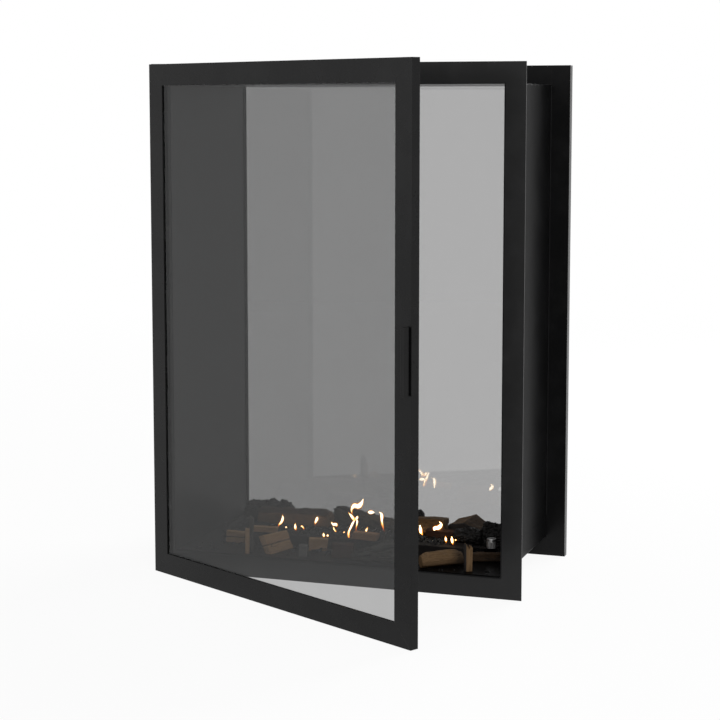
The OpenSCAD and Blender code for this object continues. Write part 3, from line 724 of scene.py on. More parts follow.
def pan_head_tree() -> ShapeSet:
    """Tree that sets a pan-head screw with a cross recess on each point, along the point's axis.

    Returns:
        The tree, whose inputs are the points and the screw's sizes.
    """
    g = ShapeSet("pan_head_screws")
    points = g.given("Points", "Geometry")
    head_r, head_h = g.given("Head Radius"), g.given("Head Height")
    shank_r, shank_l = g.given("Shank Radius"), g.given("Shank Length")

    def lifted(mesh: Wire, height: Wire) -> Wire:
        """A mesh moved up by a height."""
        return g.moved(mesh, g.combined(0.0, 0.0, height))

    def rod(sides: int, radius: Wire, depth: Wire) -> Wire:
        """A plain cylinder."""
        values = {"Vertices": sides, "Radius": radius, "Depth": depth}
        return g.node("GeometryNodeMeshCylinder", values, fill_type="NGON")

    cone = {
        "Vertices": HEAD_SIDES,
        "Radius Top": head_r * DOME_TOP,
        "Radius Bottom": head_r,
        "Depth": head_h * (1 - RIM_SHARE),
    }
    dome = lifted(g.node("GeometryNodeMeshCone", cone, fill_type="NGON"), head_h * RIM_SHARE)
    rim = lifted(rod(HEAD_SIDES, head_r, head_h * RIM_SHARE), head_h * (RIM_SHARE / 2))
    head = g.node("GeometryNodeMeshBoolean", {"Mesh 2": [rim, dome]}, operation="UNION", solver="EXACT")
    wide, narrow, deep = head_r * RECESS_LONG, head_r * RECESS_WIDE, head_h * RECESS_DEEP
    bars = [
        lifted(g.node("GeometryNodeMeshCube", {"Size": g.combined(a, b, deep)}), head_h)
        for a, b in ((wide, narrow), (narrow, wide))
    ]
    cut = {"Mesh 1": head, "Mesh 2": bars}
    recess = g.node("GeometryNodeMeshBoolean", cut, operation="DIFFERENCE", solver="EXACT")
    shank = lifted(rod(SHANK_SIDES, shank_r, shank_l), shank_l * -0.5)
    screw = g.node("GeometryNodeJoinGeometry", {0: [recess, shank]})
    axis = g.node("GeometryNodeInputNamedAttribute", {"Name": "axis"}, data_type="FLOAT_VECTOR")
    turn = g.node("FunctionNodeAlignRotationToVector", {"Vector": axis}, axis="Z")
    spin = g.node("FunctionNodeRandomValue", {"Min": 0.0, "Max": MOST_SPIN, "Seed": 4}, 1, data_type="FLOAT")
    about = g.node("FunctionNodeAxisAngleToRotation", {"Axis": (0.0, 0.0, 1.0), "Angle": spin})
    both = {"Rotation": turn, "Rotate By": about}
    turned = g.node("FunctionNodeRotateRotation", both, rotation_space="LOCAL")
    g.close(g.node("GeometryNodeInstanceOnPoints", {"Points": points, "Instance": screw, "Rotation": turned}))
    return g


@dataclass
class ScrewSet:
    """A group of equal pan-head screws: sizes in millimetres, seats in metres with each head's way."""

    node: str
    body: str
    finish: Finish
    head_r: float
    head_h: float
    shank_r: float
    shank_l: float
    seats: list[Seat]
    place: Matrix = field(default_factory=Matrix)

    def build(self, tree: ShapeSet) -> None:
        """Makes the screws with the pan-head tree, in place of their CAD node."""
        turn = self.place.to_3x3()
        name = f"{self.node.removesuffix('s')}_set"
        mesh = bpy.data.meshes.new(name)
        mesh.from_pydata([tuple(self.place @ Vector(spot)) for spot, _ in self.seats], [], [])
        store(mesh, "axis", np.array([(turn @ Vector(way)).normalized() for _, way in self.seats]))
        sizes = {
            "Head Radius": self.head_r * MM,
            "Head Height": self.head_h * MM,
            "Shank Radius": self.shank_r * MM,
            "Shank Length": self.shank_l * MM,
            "Material": self.finish.material,
        }
        fit_piece(tree.run(name, sizes, mesh), self.finish, self.body, self.node)


# Sub-assemblies

@dataclass
class Casing:
    """The folded sheet casing with its front flange, loose hearth plate and hinge brackets."""

    wall_out: float = 328 * MM
    pan_top: float = 43 * MM
    butt_gap: float = 1 * MM
    left_open: float = 0.02 * MM
    near: float = 0.1 * MM
    screw_x: float = 200.164 * MM
    screw_y: float = 177.5 * MM
    screw_z: tuple[float, float] = (-21 * MM, 925 * MM)

    def weld_seams(self) -> None:
        """Replaces the side panels by ones whose butt seams against the pan and the top are welded shut."""
        for node in ("side_panel_left", "side_panel_right"):
            mesh = merged_copy(node)
            for point in mesh.vertices:
                spot = point.co
                if abs(abs(spot.x) - self.wall_out - self.butt_gap) < self.near:
                    spot.x = math.copysign(self.wall_out + self.left_open, spot.x)
                in_wall = abs(spot.x) < self.wall_out + self.near
                if in_wall and abs(spot.z - self.pan_top - self.butt_gap) < self.near:
                    spot.z = self.pan_top + self.left_open
            fit_piece(new_object(f"{node}_welded", mesh), Finish.casing_paint, "casing", node)

    def dress(self) -> None:
        """Gives each sheet piece its paint."""
        dress(Finish.casing_paint, "top_panel", "base_pan")
        self.weld_seams()
        dress(Finish.flange_paint, "front_flange")
        dress(Finish.hearth_paint, "hearth_plate")
        dress(Finish.hinge_steel, "hinge_brackets")
        dress(Finish.washer_bronze, "hinge_washers")

    def build_screws(self, tree: ShapeSet) -> None:
        """Replaces the six screws that hold the rear frame to the casing's strips."""
        seats = [((x * self.screw_x, self.screw_y, z), (0, -1, 0)) for x in (-1, 0, 1) for z in self.screw_z]
        ScrewSet("rear_frame_screws", "casing", Finish.black_screws, 3.8, 2.4, 2.0, 7, seats).build(tree)


@dataclass
class FramedPane:
    """A glass pane in a mitred hollow frame, held by beads; front door and rear pane are both made so."""

    side: str
    body: str
    stiles: tuple[str, str]
    width: float
    height: float
    place: Matrix
    border: float = 40 * MM
    lip: float = 8 * MM
    depth: float = 17 * MM
    bead: float = 1.5 * MM
    bead_depth: float = 6.5 * MM
    stile_screws: int = 5
    rail_screws: int = 4

    def dress(self) -> None:
        """Gives the frame, beads, gasket and glass their finishes."""
        dress(Finish.frame_paint, *self.stiles, f"{self.side}_rail_top", f"{self.side}_rail_bottom")
        dress(Finish.bead_paint, f"{self.side}_glazing_beads")
        dress(Finish.gasket_fibre, f"{self.side}_gasket")
        dress(Finish[f"{self.side}_glass"], f"{self.side}_glass")

    def spread(self, length: float, count: int) -> list[float]:
        """Places of a number of screws along a stile or rail."""
        return [self.border + (length - 2 * self.border) * (i + 0.5) / count for i in range(count)]

    def build_screws(self, tree: ShapeSet) -> None:
        """Replaces the bead screws with detailed ones."""
        edge = self.border - self.lip + self.bead
        deep = (self.bead_depth + self.bead + self.depth) / 2
        seats = []
        for z in self.spread(self.height, self.stile_screws):
            seats += [((edge, deep, z), (1, 0, 0)), ((self.width - edge, deep, z), (-1, 0, 0))]
        for x in self.spread(self.width, self.rail_screws):
            seats += [((x, deep, edge), (0, 0, 1)), ((x, deep, self.height - edge), (0, 0, -1))]
        node = f"{self.side}_bead_screws"
        ScrewSet(node, self.body, Finish.black_screws, 2.6, 1.6, 1.5, 5, seats, self.place).build(tree)


@dataclass
class FrontDoor(FramedPane):
    """The framed pane that stands ajar on its hinge, with handle bar, hinge blocks, pins and magnets."""

    side: str = "door"
    body: str = "door"
    stiles: tuple[str, str] = ("door_stile_hinge", "door_stile_latch")
    width: float = 722 * MM
    height: float = 978 * MM
    place: Matrix = field(init=False)
    shut_corner: Point = (-361 * MM, -197.5 * MM, -37 * MM)
    pivot: Point = (-353 * MM, -191.5 * MM, 0.0)
    ajar: float = 29.0
    bar_edge: float = 3 * MM
    bar_width: float = 10.5 * MM
    bar_length: float = 115 * MM
    bar_drop: float = 5 * MM
    bar_round: float = 0.9 * MM
    bar_screw_in: float = 22 * MM
    wall: float = 1.5 * MM

    def __post_init__(self) -> None:
        """Works out the door's place in the row frame."""
        pivot = Matrix.Translation(self.pivot)
        turn = Matrix.Rotation(math.radians(-self.ajar), 4, "Z")
        self.place = pivot @ turn @ pivot.inverted() @ Matrix.Translation(self.shut_corner)

    def build_fittings(self, tree: ShapeSet) -> None:
        """Dresses the hinge and magnet pieces, rounds the handle bar and makes its two screws."""
        dress(Finish.hinge_steel, "hinge_blocks")
        dress(Finish.plated_steel, "hinge_pins", "door_magnets")
        fit_piece(rounded_copy("handle_bar", self.bar_round), Finish.handle_paint, "door", "handle_bar")
        x = self.width - self.bar_edge - self.bar_width / 2
        middle = self.height / 2 - self.bar_drop
        reach = self.bar_length / 2 - self.bar_screw_in
        seats = [((x, self.wall, middle + side * reach), (0, 1, 0)) for side in (-1, 1)]
        screws = ScrewSet("handle_screws", "door", Finish.plated_steel, 3.5, 2.4, 2.0, 8, seats, self.place)
        screws.build(tree)


@dataclass
class RearPane(FramedPane):
    """The fixed framed pane, with its visible face to the rear."""

    side: str = "rear"
    body: str = "casing"
    stiles: tuple[str, str] = ("rear_stile_left", "rear_stile_right")
    width: float = 732 * MM
    height: float = 980 * MM
    place: Matrix = field(init=False)
    corner: Point = (-366 * MM, 196.5 * MM, -38 * MM)

    def __post_init__(self) -> None:
        """Works out the pane's place in the row frame."""
        self.place = Matrix.Translation(self.corner) @ Matrix.Scale(-1.0, 4, (0, 1, 0))


@dataclass
class Burner:
    """The ethanol burner: box, absorbent, ported cover, regulator slide and its fluted knob."""

    knob_at: Point = (273.84 * MM, -44.02 * MM, 23.5 * MM)
    knob_r: float = 9.5 * MM
    knob_h: float = 19 * MM
    flutes: int = 20
    flute: float = 0.6 * MM
    flute_steps: int = 8
    flutes_end: tuple[float, float] = (0.62, 0.68)
    groove: float = 0.09
    groove_level: float = 0.74
    groove_reach: float = 0.045
    chamfer: float = 0.085
    chamfer_levels: tuple[float, float] = (0.455, 0.5)
    dish: float = 0.6 * MM
    dish_rim: tuple[float, float] = (0.3, 0.8)
    top_level: float = 0.49
    screw_x: float = 150.43 * MM
    screw_y: float = 68.75 * MM

    def dress(self) -> None:
        """Gives the sheet pieces and the absorbent their finishes."""
        dress(Finish.sooted_steel, "burner_cover", "burner_box", "regulator_slide")
        dress(Finish.ceramic_fibre, "ceramic_absorbent")

    def knob_tree(self) -> ShapeSet:
        """Tree of a turned knob with a fluted body, a plain groove and a dished top.

        Returns:
            The tree, whose inputs are the knob's sizes and its place.
        """
        g = ShapeSet("fluted_knob")
        radius, height = g.given("Radius"), g.given("Height")
        flute, count = g.given("Flute Depth"), g.given("Flutes", "Int")
        centre = g.given("Centre", "Vector")
        counts = {"Vertices": count * self.flute_steps, "Side Segments": 40, "Fill Segments": 6}
        values = {**counts, "Radius": radius, "Depth": height}
        body = g.node("GeometryNodeMeshCylinder", values, fill_type="TRIANGLE_FAN")
        x, y, z = g.xyz(g.node("GeometryNodeInputPosition"))
        reach = (x * x + y * y) ** 0.5 / radius
        level = z / height + 0.5
        groove = 1.0 - ((level - self.groove_level).size() / self.groove_reach).lowest(1.0)
        fluted = 1.0 - level.step(*self.flutes_end)
        chamfer = (z.size() / height).step(*self.chamfer_levels)
        wave = (g.math("ARCTAN2", y, x) * count).sine() * 0.5 + 0.5
        cut = wave * fluted * flute + groove * self.groove * radius + chamfer * self.chamfer * radius
        share = (radius - cut) / radius
        top = (z > height * self.top_level) * (1.0 - reach.step(*self.dish_rim)) * self.dish
        placed = g.vector("ADD", g.combined(x * share, y * share, z + height * 0.5 - top), centre)
        g.close(g.node("GeometryNodeSetPosition", {"Geometry": body, "Position": placed}))
        return g

    def build(self, tree: ShapeSet) -> None:
        """Makes the knob, and the four cover screws with the pan-head tree."""
        sizes = {
            "Radius": self.knob_r,
            "Height": self.knob_h,
            "Flute Depth": self.flute,
            "Flutes": self.flutes,
            "Centre": self.knob_at,
            "Material": Finish.stainless_steel.material,
        }
        knob = self.knob_tree().run("fluted_knob", sizes)
        fit_piece(knob, Finish.stainless_steel, "regulator", "regulator_knob")
        corners = [(x * self.screw_x, y * self.screw_y, BED * MM) for x in (-1, 1) for y in (-1, 1)]
        seats = [(corner, (0, 0, 1)) for corner in corners]
        ScrewSet("burner_screws", "casing", Finish.sooted_screws, 3.6, 1.4, 2.0, 4.9, seats).build(tree)


# Log set

ROUNDS = {Surface.BARK: 5, Surface.CHARRED: 4}


def share_along(values: np.ndarray) -> np.ndarray:
    """Each value's place between the least and the greatest, from 0 to 1."""
    low = values.min()
    return (values - low) / max(values.max() - low, 1e-9)


def near(values: np.ndarray, width: float) -> np.ndarray:
    """One where a value is nought, falling to nought over a width."""
    return np.clip(1 - np.abs(values) / width, 0, 1)


def relaxed(spots: np.ndarray, edges: np.ndarray, rounds: int, pull: float = 0.6) -> np.ndarray:
    """Points drawn towards the middle of their neighbours a number of times."""
    count = np.maximum(np.bincount(edges.ravel(), minlength=len(spots)), 1)[:, None]
    out = spots.copy()
    for _ in range(rounds):
        total = np.zeros_like(out)
        np.add.at(total, edges[:, 0], out[edges[:, 1]])
        np.add.at(total, edges[:, 1], out[edges[:, 0]])
        out += pull * (total / count - out)
    return out


def rough_field(spots: np.ndarray, scale: Point, octaves: int, seed: int) -> np.ndarray:
    """Smooth random value at each point.

    Args:
        spots: the points in metres.
        scale: how many waves there are per metre along each axis.
        octaves: how many finer layers are added.
        seed: the pattern's number.

    Returns:
        A value for each point, about -1 to 1.
    """
    moved = spots * np.array(scale) + seed * 7.31
    return np.array([noise.fractal(Vector(p), 1.0, 2.0, octaves) for p in moved])


def cell_edges(spots: np.ndarray, scale: Point, seed: int) -> np.ndarray:
    """Distance to the nearest border between random cells, in cells."""
    moved = spots * np.array(scale) + seed * 3.17
    nearest = np.array([noise.voronoi(Vector(p))[0][:2] for p in moved])
    return nearest[:, 1] - nearest[:, 0]


def carve(
    surface: Surface, grain: np.ndarray, corner: np.ndarray, seed: int
) -> tuple[np.ndarray, np.ndarray]:
    """Relief of one kind of surface.

    Args:
        surface: the kind.
        grain: the points with the grain along X, in metres.
        corner: how near each point lies to a corner, from 0 to 1.
        seed: the pattern's number.

    Returns:
        The height of each point over the plain surface in metres, and its depth in a crack, from 0 to 1.
    """
    lumps = rough_field(grain, (26.0, 48.0, 48.0), 2, seed)
    if surface is Surface.CHARRED:
        warp = grain + 0.0025 * np.column_stack([lumps, np.roll(lumps, 1), lumps])
        wide = near(cell_edges(warp, (85.0, 150.0, 150.0), seed), 0.22)
        small = near(cell_edges(warp, (240.0, 330.0, 330.0), seed + 9), 0.2)
        flake = rough_field(grain, (110.0, 170.0, 170.0), 3, seed + 3)
        height = 2.6 * lumps + 1.7 * flake - 2.2 * wide**1.5 - 0.6 * small
        return height * MM, np.clip(wide * 0.9 + small * 0.35, 0, 1)
    if surface is Surface.BARK:
        ridge = 1 - 2 * np.abs(rough_field(grain, (26.0, 150.0, 150.0), 3, seed))
        split = near(rough_field(grain, (120.0, 45.0, 45.0), 2, seed + 5), 0.06)
        plates = near(cell_edges(grain, (42.0, 95.0, 95.0), seed + 6), 0.3)
        height = 2.2 * lumps + 1.5 * (ridge - 0.5) - 0.8 * split - 1.4 * plates
        return height * MM, np.clip((0.45 - ridge) * 1.6 + split * 0.5 + plates * 0.5, 0, 1)
    fibres = rough_field(grain, (11.0, 260.0, 260.0), 3, seed)
    if surface is Surface.SPLIT:
        layers = rough_field(grain, (9.0, 70.0, 70.0), 2, seed + 2) * 4
        chips = corner * np.clip(rough_field(grain, (70.0, 90.0, 90.0), 3, seed + 8), 0, 1)
        height = 1.5 * lumps + 0.6 * fibres + 0.3 * np.floor(layers) - 3.4 * chips
        return height * MM, 0.6 * (np.abs(layers - np.round(layers)) < 0.07)
    checks = near(rough_field(grain, (8.0, 120.0, 120.0), 1, seed + 4), 0.03)
    chips = corner * np.clip(rough_field(grain, (80.0, 110.0, 110.0), 2, seed + 8), 0, 1)
    height = 0.7 * lumps + 0.2 * fibres - 0.4 * checks - 2.4 * chips
    if surface is Surface.SAWN:
        return height * MM, checks * 0.5
    level = grain[:, 2] - grain[:, 2].min()
    joint = level.max() * 0.5 + 0.6 * MM * rough_field(grain, (30.0, 30.0, 0.0), 1, seed + 1)
    gap = near(level - joint, 1.2 * MM)
    lower = level < joint
    return (height - 1.8 * gap - 0.6 * lower) * MM, np.clip(gap + 0.35 * lower + checks * 0.5, 0, 1)


@dataclass
class LogPiece:
    """One log or block: its place in millimetres and degrees, its finish and its carving."""

    node: str
    x: float
    y: float
    base: float
    turn: float
    finish: Finish
    surface: Surface | None = None
    lean: float = 0.0
    upright: bool = False
    voxel: float = 1.35 * MM
    rough: float = 1.0
    long: float = 1.0
    wide: float = 1.0
    tall: float = 1.0
    low_end: float = 1.0
    crest: float = 0.0
    skew: float = 0.0
    notch: float = 0.0
    # side darkening: char on some logs, painted shade on the ridge log's front
    char_and_shade_way: Point | None = None
    char_and_shade_share: float = 1.0
    char_from: tuple[float, float] | None = None

    def place(self) -> Matrix:
        """The piece's place in the row frame."""
        spot = Matrix.Translation((self.x * MM, self.y * MM, self.base * MM))
        return spot @ Matrix.Rotation(math.radians(self.turn), 4, "Z")

    def turned(self, way: Point) -> Vector:
        """A way in the row frame, as it runs in the piece's own place."""
        return Matrix.Rotation(math.radians(-self.turn), 3, "Z") @ Vector(way)

    def remeshed(self) -> Mesh:
        """Even mesh of the CAD solid in the piece's own place."""
        mesh = merged_copy(self.node)
        mesh.transform(Matrix.Diagonal((self.long, self.wide, self.tall, 1.0)) @ self.place().inverted())
        draft = new_object(f"{self.node}_draft", mesh)
        modifier = draft.modifiers.new("even", "REMESH")
        modifier.mode = "VOXEL"
        modifier.voxel_size = self.voxel
        even = evaluated_mesh(draft)
        bpy.data.objects.remove(draft)
        return even

    def build(self) -> None:
        """Carves the surface, stores the grain and fits the piece."""
        mesh = self.remeshed()
        spots = read_array(mesh.vertices, "co", 3).astype(float)
        normals = read_array(mesh.vertices, "normal", 3).astype(float)
        surface = self.surface or self.finish.value.surface
        rounds = ROUNDS.get(surface, 1)
        smooth = relaxed(spots, read_array(mesh.edges, "vertices", 2, np.int32), rounds)
        corner = np.clip(np.linalg.norm(smooth - spots, axis=1) / (0.45 * self.voxel), 0, 1)
        grain = smooth @ np.array(Matrix.Rotation(math.radians(-self.lean), 3, "X")).T
        if self.upright:
            grain = grain[:, [2, 1, 0]]
        height, crack = carve(surface, grain, corner, seed=sum(map(ord, self.node)) % 97)
        moved = smooth + normals * (height * self.rough)[:, None]
        low = spots[:, 2] < 0.6 * self.voxel
        moved[low] = smooth[low]
        moved[:, 2] = np.maximum(moved[:, 2], 0.0)
        moved[low, 2] = 0.0
        mesh.vertices.foreach_set("co", self.bent(moved).astype(np.float32).ravel())
        store(mesh, "grain", grain)
        store(mesh, "crack", crack)
        store(mesh, "char", self.char(smooth, normals))
        mesh.transform(self.place())
        mesh.shade_smooth()
        fit_piece(new_object(f"{self.node}_carved", mesh), self.finish, "casing", self.node)

    def bent(self, spots: np.ndarray) -> np.ndarray:
        """Points with one end or both lowered, the top notched and the whole leaned sideways."""
        out = spots.copy()
        along, across = share_along(spots[:, 0]), share_along(spots[:, 1])
        out[:, 2] *= self.low_end + (1 - self.low_end) * along
        out[:, 2] *= 1 - self.crest * np.abs(2 * along - 1)
        dent = near(along - 0.45, 0.3) * (1 - 0.5 * across)
        out[:, 2] -= self.notch * MM * dent * share_along(spots[:, 2]) ** 6
        return out + spots[:, 2:3] * np.array(self.turned((self.skew, 0, 0)))

    def char(self, spots: np.ndarray, normals: np.ndarray) -> np.ndarray:
        """How dark each point is painted, from 0 to 1: on one side, towards one end, or both. It stands for
        char, and on the ridge log's front side for painted shade.
        """
        out = np.zeros(len(spots))
        if self.char_and_shade_way is not None:
            way = np.array(self.turned(self.char_and_shade_way).normalized())
            out = np.clip((normals @ way - 0.2) / 0.35, 0, 1) * self.char_and_shade_share
        if self.char_from is not None:
            low, high = self.char_from
            share = np.clip((share_along(spots[:, 0]) - low) / (high - low), 0, 1)
            out = np.maximum(out, share * self.char_and_shade_share)
        return out


CHARRED, BARK = Finish.charred_wood, Finish.bark_wood
BROWN, RED, PALE, TAN = Finish.brown_wood, Finish.red_wood, Finish.pale_wood, Finish.tan_wood
LOGS = (
    LogPiece("log_charred_left", -239, 103, HEARTH, 4, CHARRED, rough=1.6, long=1.06, tall=1.11),
    LogPiece(
        "log_brown_rear", -155, 26, BED, -2, BROWN, rough=1.2, long=1.06, tall=1.03,
        char_and_shade_way=(0.2, 0.2, 1.0), char_and_shade_share=0.55,
    ),
    LogPiece("log_bark_middle", -5, 45, BED, -14, BARK, rough=1.5, long=1.14, tall=1.03),
    LogPiece("log_charred_middle", 65, 99, HEARTH, -6, CHARRED, rough=1.6, tall=1.06),
    LogPiece("log_boxy_right", 129, 38, BED, 3, Finish.oak_wood, long=1.03),
    LogPiece(
        # its front side is darkened with the char colour as painted shade
        "log_ridge_right", 208, 35, BED, -24, BROWN, rough=0.7, long=1.07, tall=1.12,
        crest=0.2, char_and_shade_way=(-0.2, -1.0, 0.1),
    ),
    LogPiece("log_charred_right", 277, -9, HEARTH, 0, CHARRED, rough=1.6, tall=1.06),
    LogPiece("log_charred_small", 221, -27, BED, 0, CHARRED, rough=1.7, long=1.25, wide=1.1, tall=1.12),
    LogPiece("log_red_middle", 163, 0, BED, -8, RED),
    LogPiece(
        "log_pale_front", 199, -130.5, HEARTH, 38, TAN, rough=0.8,
        char_from=(0.55, 0.85), char_and_shade_share=0.5,
    ),
    # painted shade: the darker copy of brown wood
    LogPiece("log_brown_right", 277, -67, HEARTH, 15, Finish.shaded_brown_wood, rough=0.7),
    LogPiece(
        "log_grey_front", 82, -137.5, HEARTH, 3, Finish.grey_bark, rough=1.7,
        long=1.04, tall=1.45, low_end=0.45,
    ),
    LogPiece("log_dark_left", -268, -8, HEARTH, 82, CHARRED, rough=1.6),
    LogPiece("block_upright_left", -182, -160.5, HEARTH, 20, PALE, upright=True, voxel=0.9 * MM),
    LogPiece(
        "block_upright_dark", -181, -143.5, HEARTH, 15, Finish.grey_bark, Surface.SPLIT,
        upright=True, voxel=0.9 * MM, rough=0.5, tall=1.1,
    ),
    LogPiece(
        "block_upright_right", 258, -153.5, HEARTH, 32, TAN, Surface.SAWN,
        upright=True, voxel=0.9 * MM, notch=9.0, char_from=(0.2, 0.1),
    ),
    LogPiece(
        "block_leaning_left", -130, -119.5, HEARTH, 72, PALE, Surface.BOARDS,
        lean=-14, voxel=1.1 * MM, skew=-0.35,
    ),
    LogPiece("block_flat_left", -239, -83, HEARTH, 3, PALE, Surface.BOARDS, voxel=1.0 * MM),
    LogPiece("block_flat_middle", -187, -66, BED, 6, PALE, voxel=1.0 * MM, rough=1.3),
    LogPiece("block_short_middle", -61, -94, HEARTH, 18, PALE, Surface.SPLIT, voxel=1.0 * MM, rough=0.8),
    LogPiece("block_red_front", 3, -132.5, HEARTH, 18, RED, voxel=1.0 * MM, rough=0.8),
    LogPiece("block_brown_middle", 26, -63, BED, -3, Finish.honey_wood, voxel=1.0 * MM, rough=0.5, tall=1.4),
    LogPiece("block_grey_middle", -70, -153.5, HEARTH, 14, Finish.ash_wood, voxel=0.9 * MM),
)


@dataclass
class LogSet:
    """The log set that lies on the hearth plate and the burner's cover."""

    pieces: tuple[LogPiece, ...] = LOGS

    def build(self) -> None:
        """Carves every piece."""
        for piece in self.pieces:
            piece.build()


@dataclass
class Crumbs:
    """Charcoal crumbs in patches of x, y, base, length, width in millimetres, share and coarseness."""

    patches: tuple[tuple[float, ...], ...] = (
        (-250, -130, HEARTH, 120, 60, 1.0, 1.0),
        (-105, -128, HEARTH, 110, 70, 1.2, 1.0),
        (-60, -125, HEARTH, 60, 60, 1.6, 1.0),
        (140, -150, HEARTH, 200, 40, 0.6, 1.0),
        (-90, -50, BED, 120, 40, 1.4, 1.0),
        (90, -40, BED, 130, 60, 1.0, 1.0),
        (-40, 10, BED, 200, 40, 0.8, 1.0),
        (-280, 60, HEARTH, 60, 70, 1.0, 1.0),
        (180, 120, HEARTH, 200, 60, 0.7, 1.0),
        (-60, 120, HEARTH, 200, 60, 0.7, 1.0),
        (-85, -45, BED, 150, 30, 0.9, 2.6),
        (10, -34, BED, 240, 62, 0.9, 2.6),
        (-20, -8, BED, 330, 60, 1.5, 1.7),
        (110, -22, BED, 190, 60, 1.5, 1.7),
        (150, -42, BED, 120, 44, 1.0, 2.4),
        (-80, -108, HEARTH, 60, 40, 0.8, 2.8),
        (-25, -112, HEARTH, 60, 24, 0.7, 2.6),
        (-215, -112, HEARTH, 90, 40, 0.5, 2.6),
        (150, -96, HEARTH, 120, 24, 0.7, 2.6),
        (225, -103, HEARTH, 50, 26, 0.9, 2.8),
    )
    per_square: float = 5200.0
    crumb: float = 2.1 * MM
    lift: float = 0.6
    first_seed: int = 3
    break_up: float = 520.0
    push: float = 1.7
    full_turn: float = 6.28
    least: Point = (0.25, 0.2, 0.15)
    most: Point = (1.3, 0.9, 0.6)

    def tree(self) -> ShapeSet:
        """Tree that strews broken crumbs over a rectangle.

        Returns:
            The tree, whose inputs are the rectangle, the number of crumbs, their size and the seed.
        """
        g = ShapeSet("crumbs")
        length, width = g.given("Length"), g.given("Width")
        centre = g.given("Centre", "Vector")
        density, size = g.given("Per Square Metre"), g.given("Crumb Size")
        seed = g.given("Seed", "Int")
        grid = {"Size X": length, "Size Y": width, "Vertices X": 2, "Vertices Y": 2}
        sheet = g.moved(g.node("GeometryNodeMeshGrid", grid), centre)
        strewn = {"Mesh": sheet, "Density": density, "Seed": seed}
        points = g.node("GeometryNodeDistributePointsOnFaces", strewn)
        ball = g.node("GeometryNodeMeshIcoSphere", {"Radius": size, "Subdivisions": 2})
        shaking = {"Vector": g.node("GeometryNodeInputPosition"), "Scale": self.break_up}
        shaken = g.node("ShaderNodeTexNoise", shaking, "Color", noise_dimensions="3D")
        push = {0: g.vector("SUBTRACT", shaken, (0.5, 0.5, 0.5)), "Scale": size * self.push}
        offset = g.node("ShaderNodeVectorMath", push, operation="SCALE")
        lump = g.node("GeometryNodeSetPosition", {"Geometry": ball, "Offset": offset})

        def drawn(low: Point, high: Point) -> Wire:
            """A random vector between two for each crumb."""
            values = {"Min": low, "Max": high, "Seed": seed}
            return g.node("FunctionNodeRandomValue", values, data_type="FLOAT_VECTOR")

        turn = drawn((0.0, 0.0, 0.0), (self.full_turn,) * 3)
        values = {"Points": points, "Instance": lump, "Rotation": turn, "Scale": drawn(self.least, self.most)}
        g.close(g.node("GeometryNodeInstanceOnPoints", values))
        return g

    def build(self) -> None:
        """Strews each patch and joins them into one piece."""
        tree = self.tree()
        shape = bmesh.new()
        for seed, (x, y, z, length, width, share, large) in enumerate(self.patches, self.first_seed):
            sizes = {
                "Length": length * MM,
                "Width": width * MM,
                "Centre": (x * MM, y * MM, (z + self.lift * large) * MM),
                "Per Square Metre": self.per_square * share,
                "Crumb Size": self.crumb * large,
                "Seed": seed,
                "Material": Finish.chips.material,
            }
            draft = tree.run("crumb_patch", sizes)
            shape.from_mesh(draft.data)
            bpy.data.objects.remove(draft)
        mesh = bpy.data.meshes.new("charcoal_crumbs")
        shape.to_mesh(mesh)
        shape.free()
        fit_piece(new_object("charcoal_crumbs", mesh), Finish.chips, "casing")


# Flames

def smooth_line(marks: np.ndarray, ways: np.ndarray) -> np.ndarray:
    """Points of a smooth line through marks, at shares of its length."""
    ends = np.vstack([2 * marks[0] - marks[1], marks, 2 * marks[-1] - marks[-2]])
    spans = len(marks) - 1
    out = []
    for t in ways:
        k = min(int(t * spans), spans - 1)
        u = t * spans - k
        a, b, c, d = ends[k : k + 4]
        curve = (2 * b, c - a, 2 * a - 5 * b + 4 * c - d, 3 * b - a - 3 * c + d)
        out.append(0.5 * sum(part * u**power for power, part in enumerate(curve)))
    return np.array(out)


def tube_faces(rings: int, sides: int) -> list:
    """Faces of a closed tube with a single point at each end."""
    last = rings * sides + 1
    faces = [[0, 1 + (k + 1) % sides, 1 + k] for k in range(sides)]
    for i in range(rings - 1):
        for k in range(sides):
            a, b = 1 + i * sides + k, 1 + i * sides + (k + 1) % sides
            faces.append([a, b, b + sides, a + sides])
    top = 1 + (rings - 1) * sides
    faces += [[top + k, top + (k + 1) % sides, last] for k in range(sides)]
    return faces


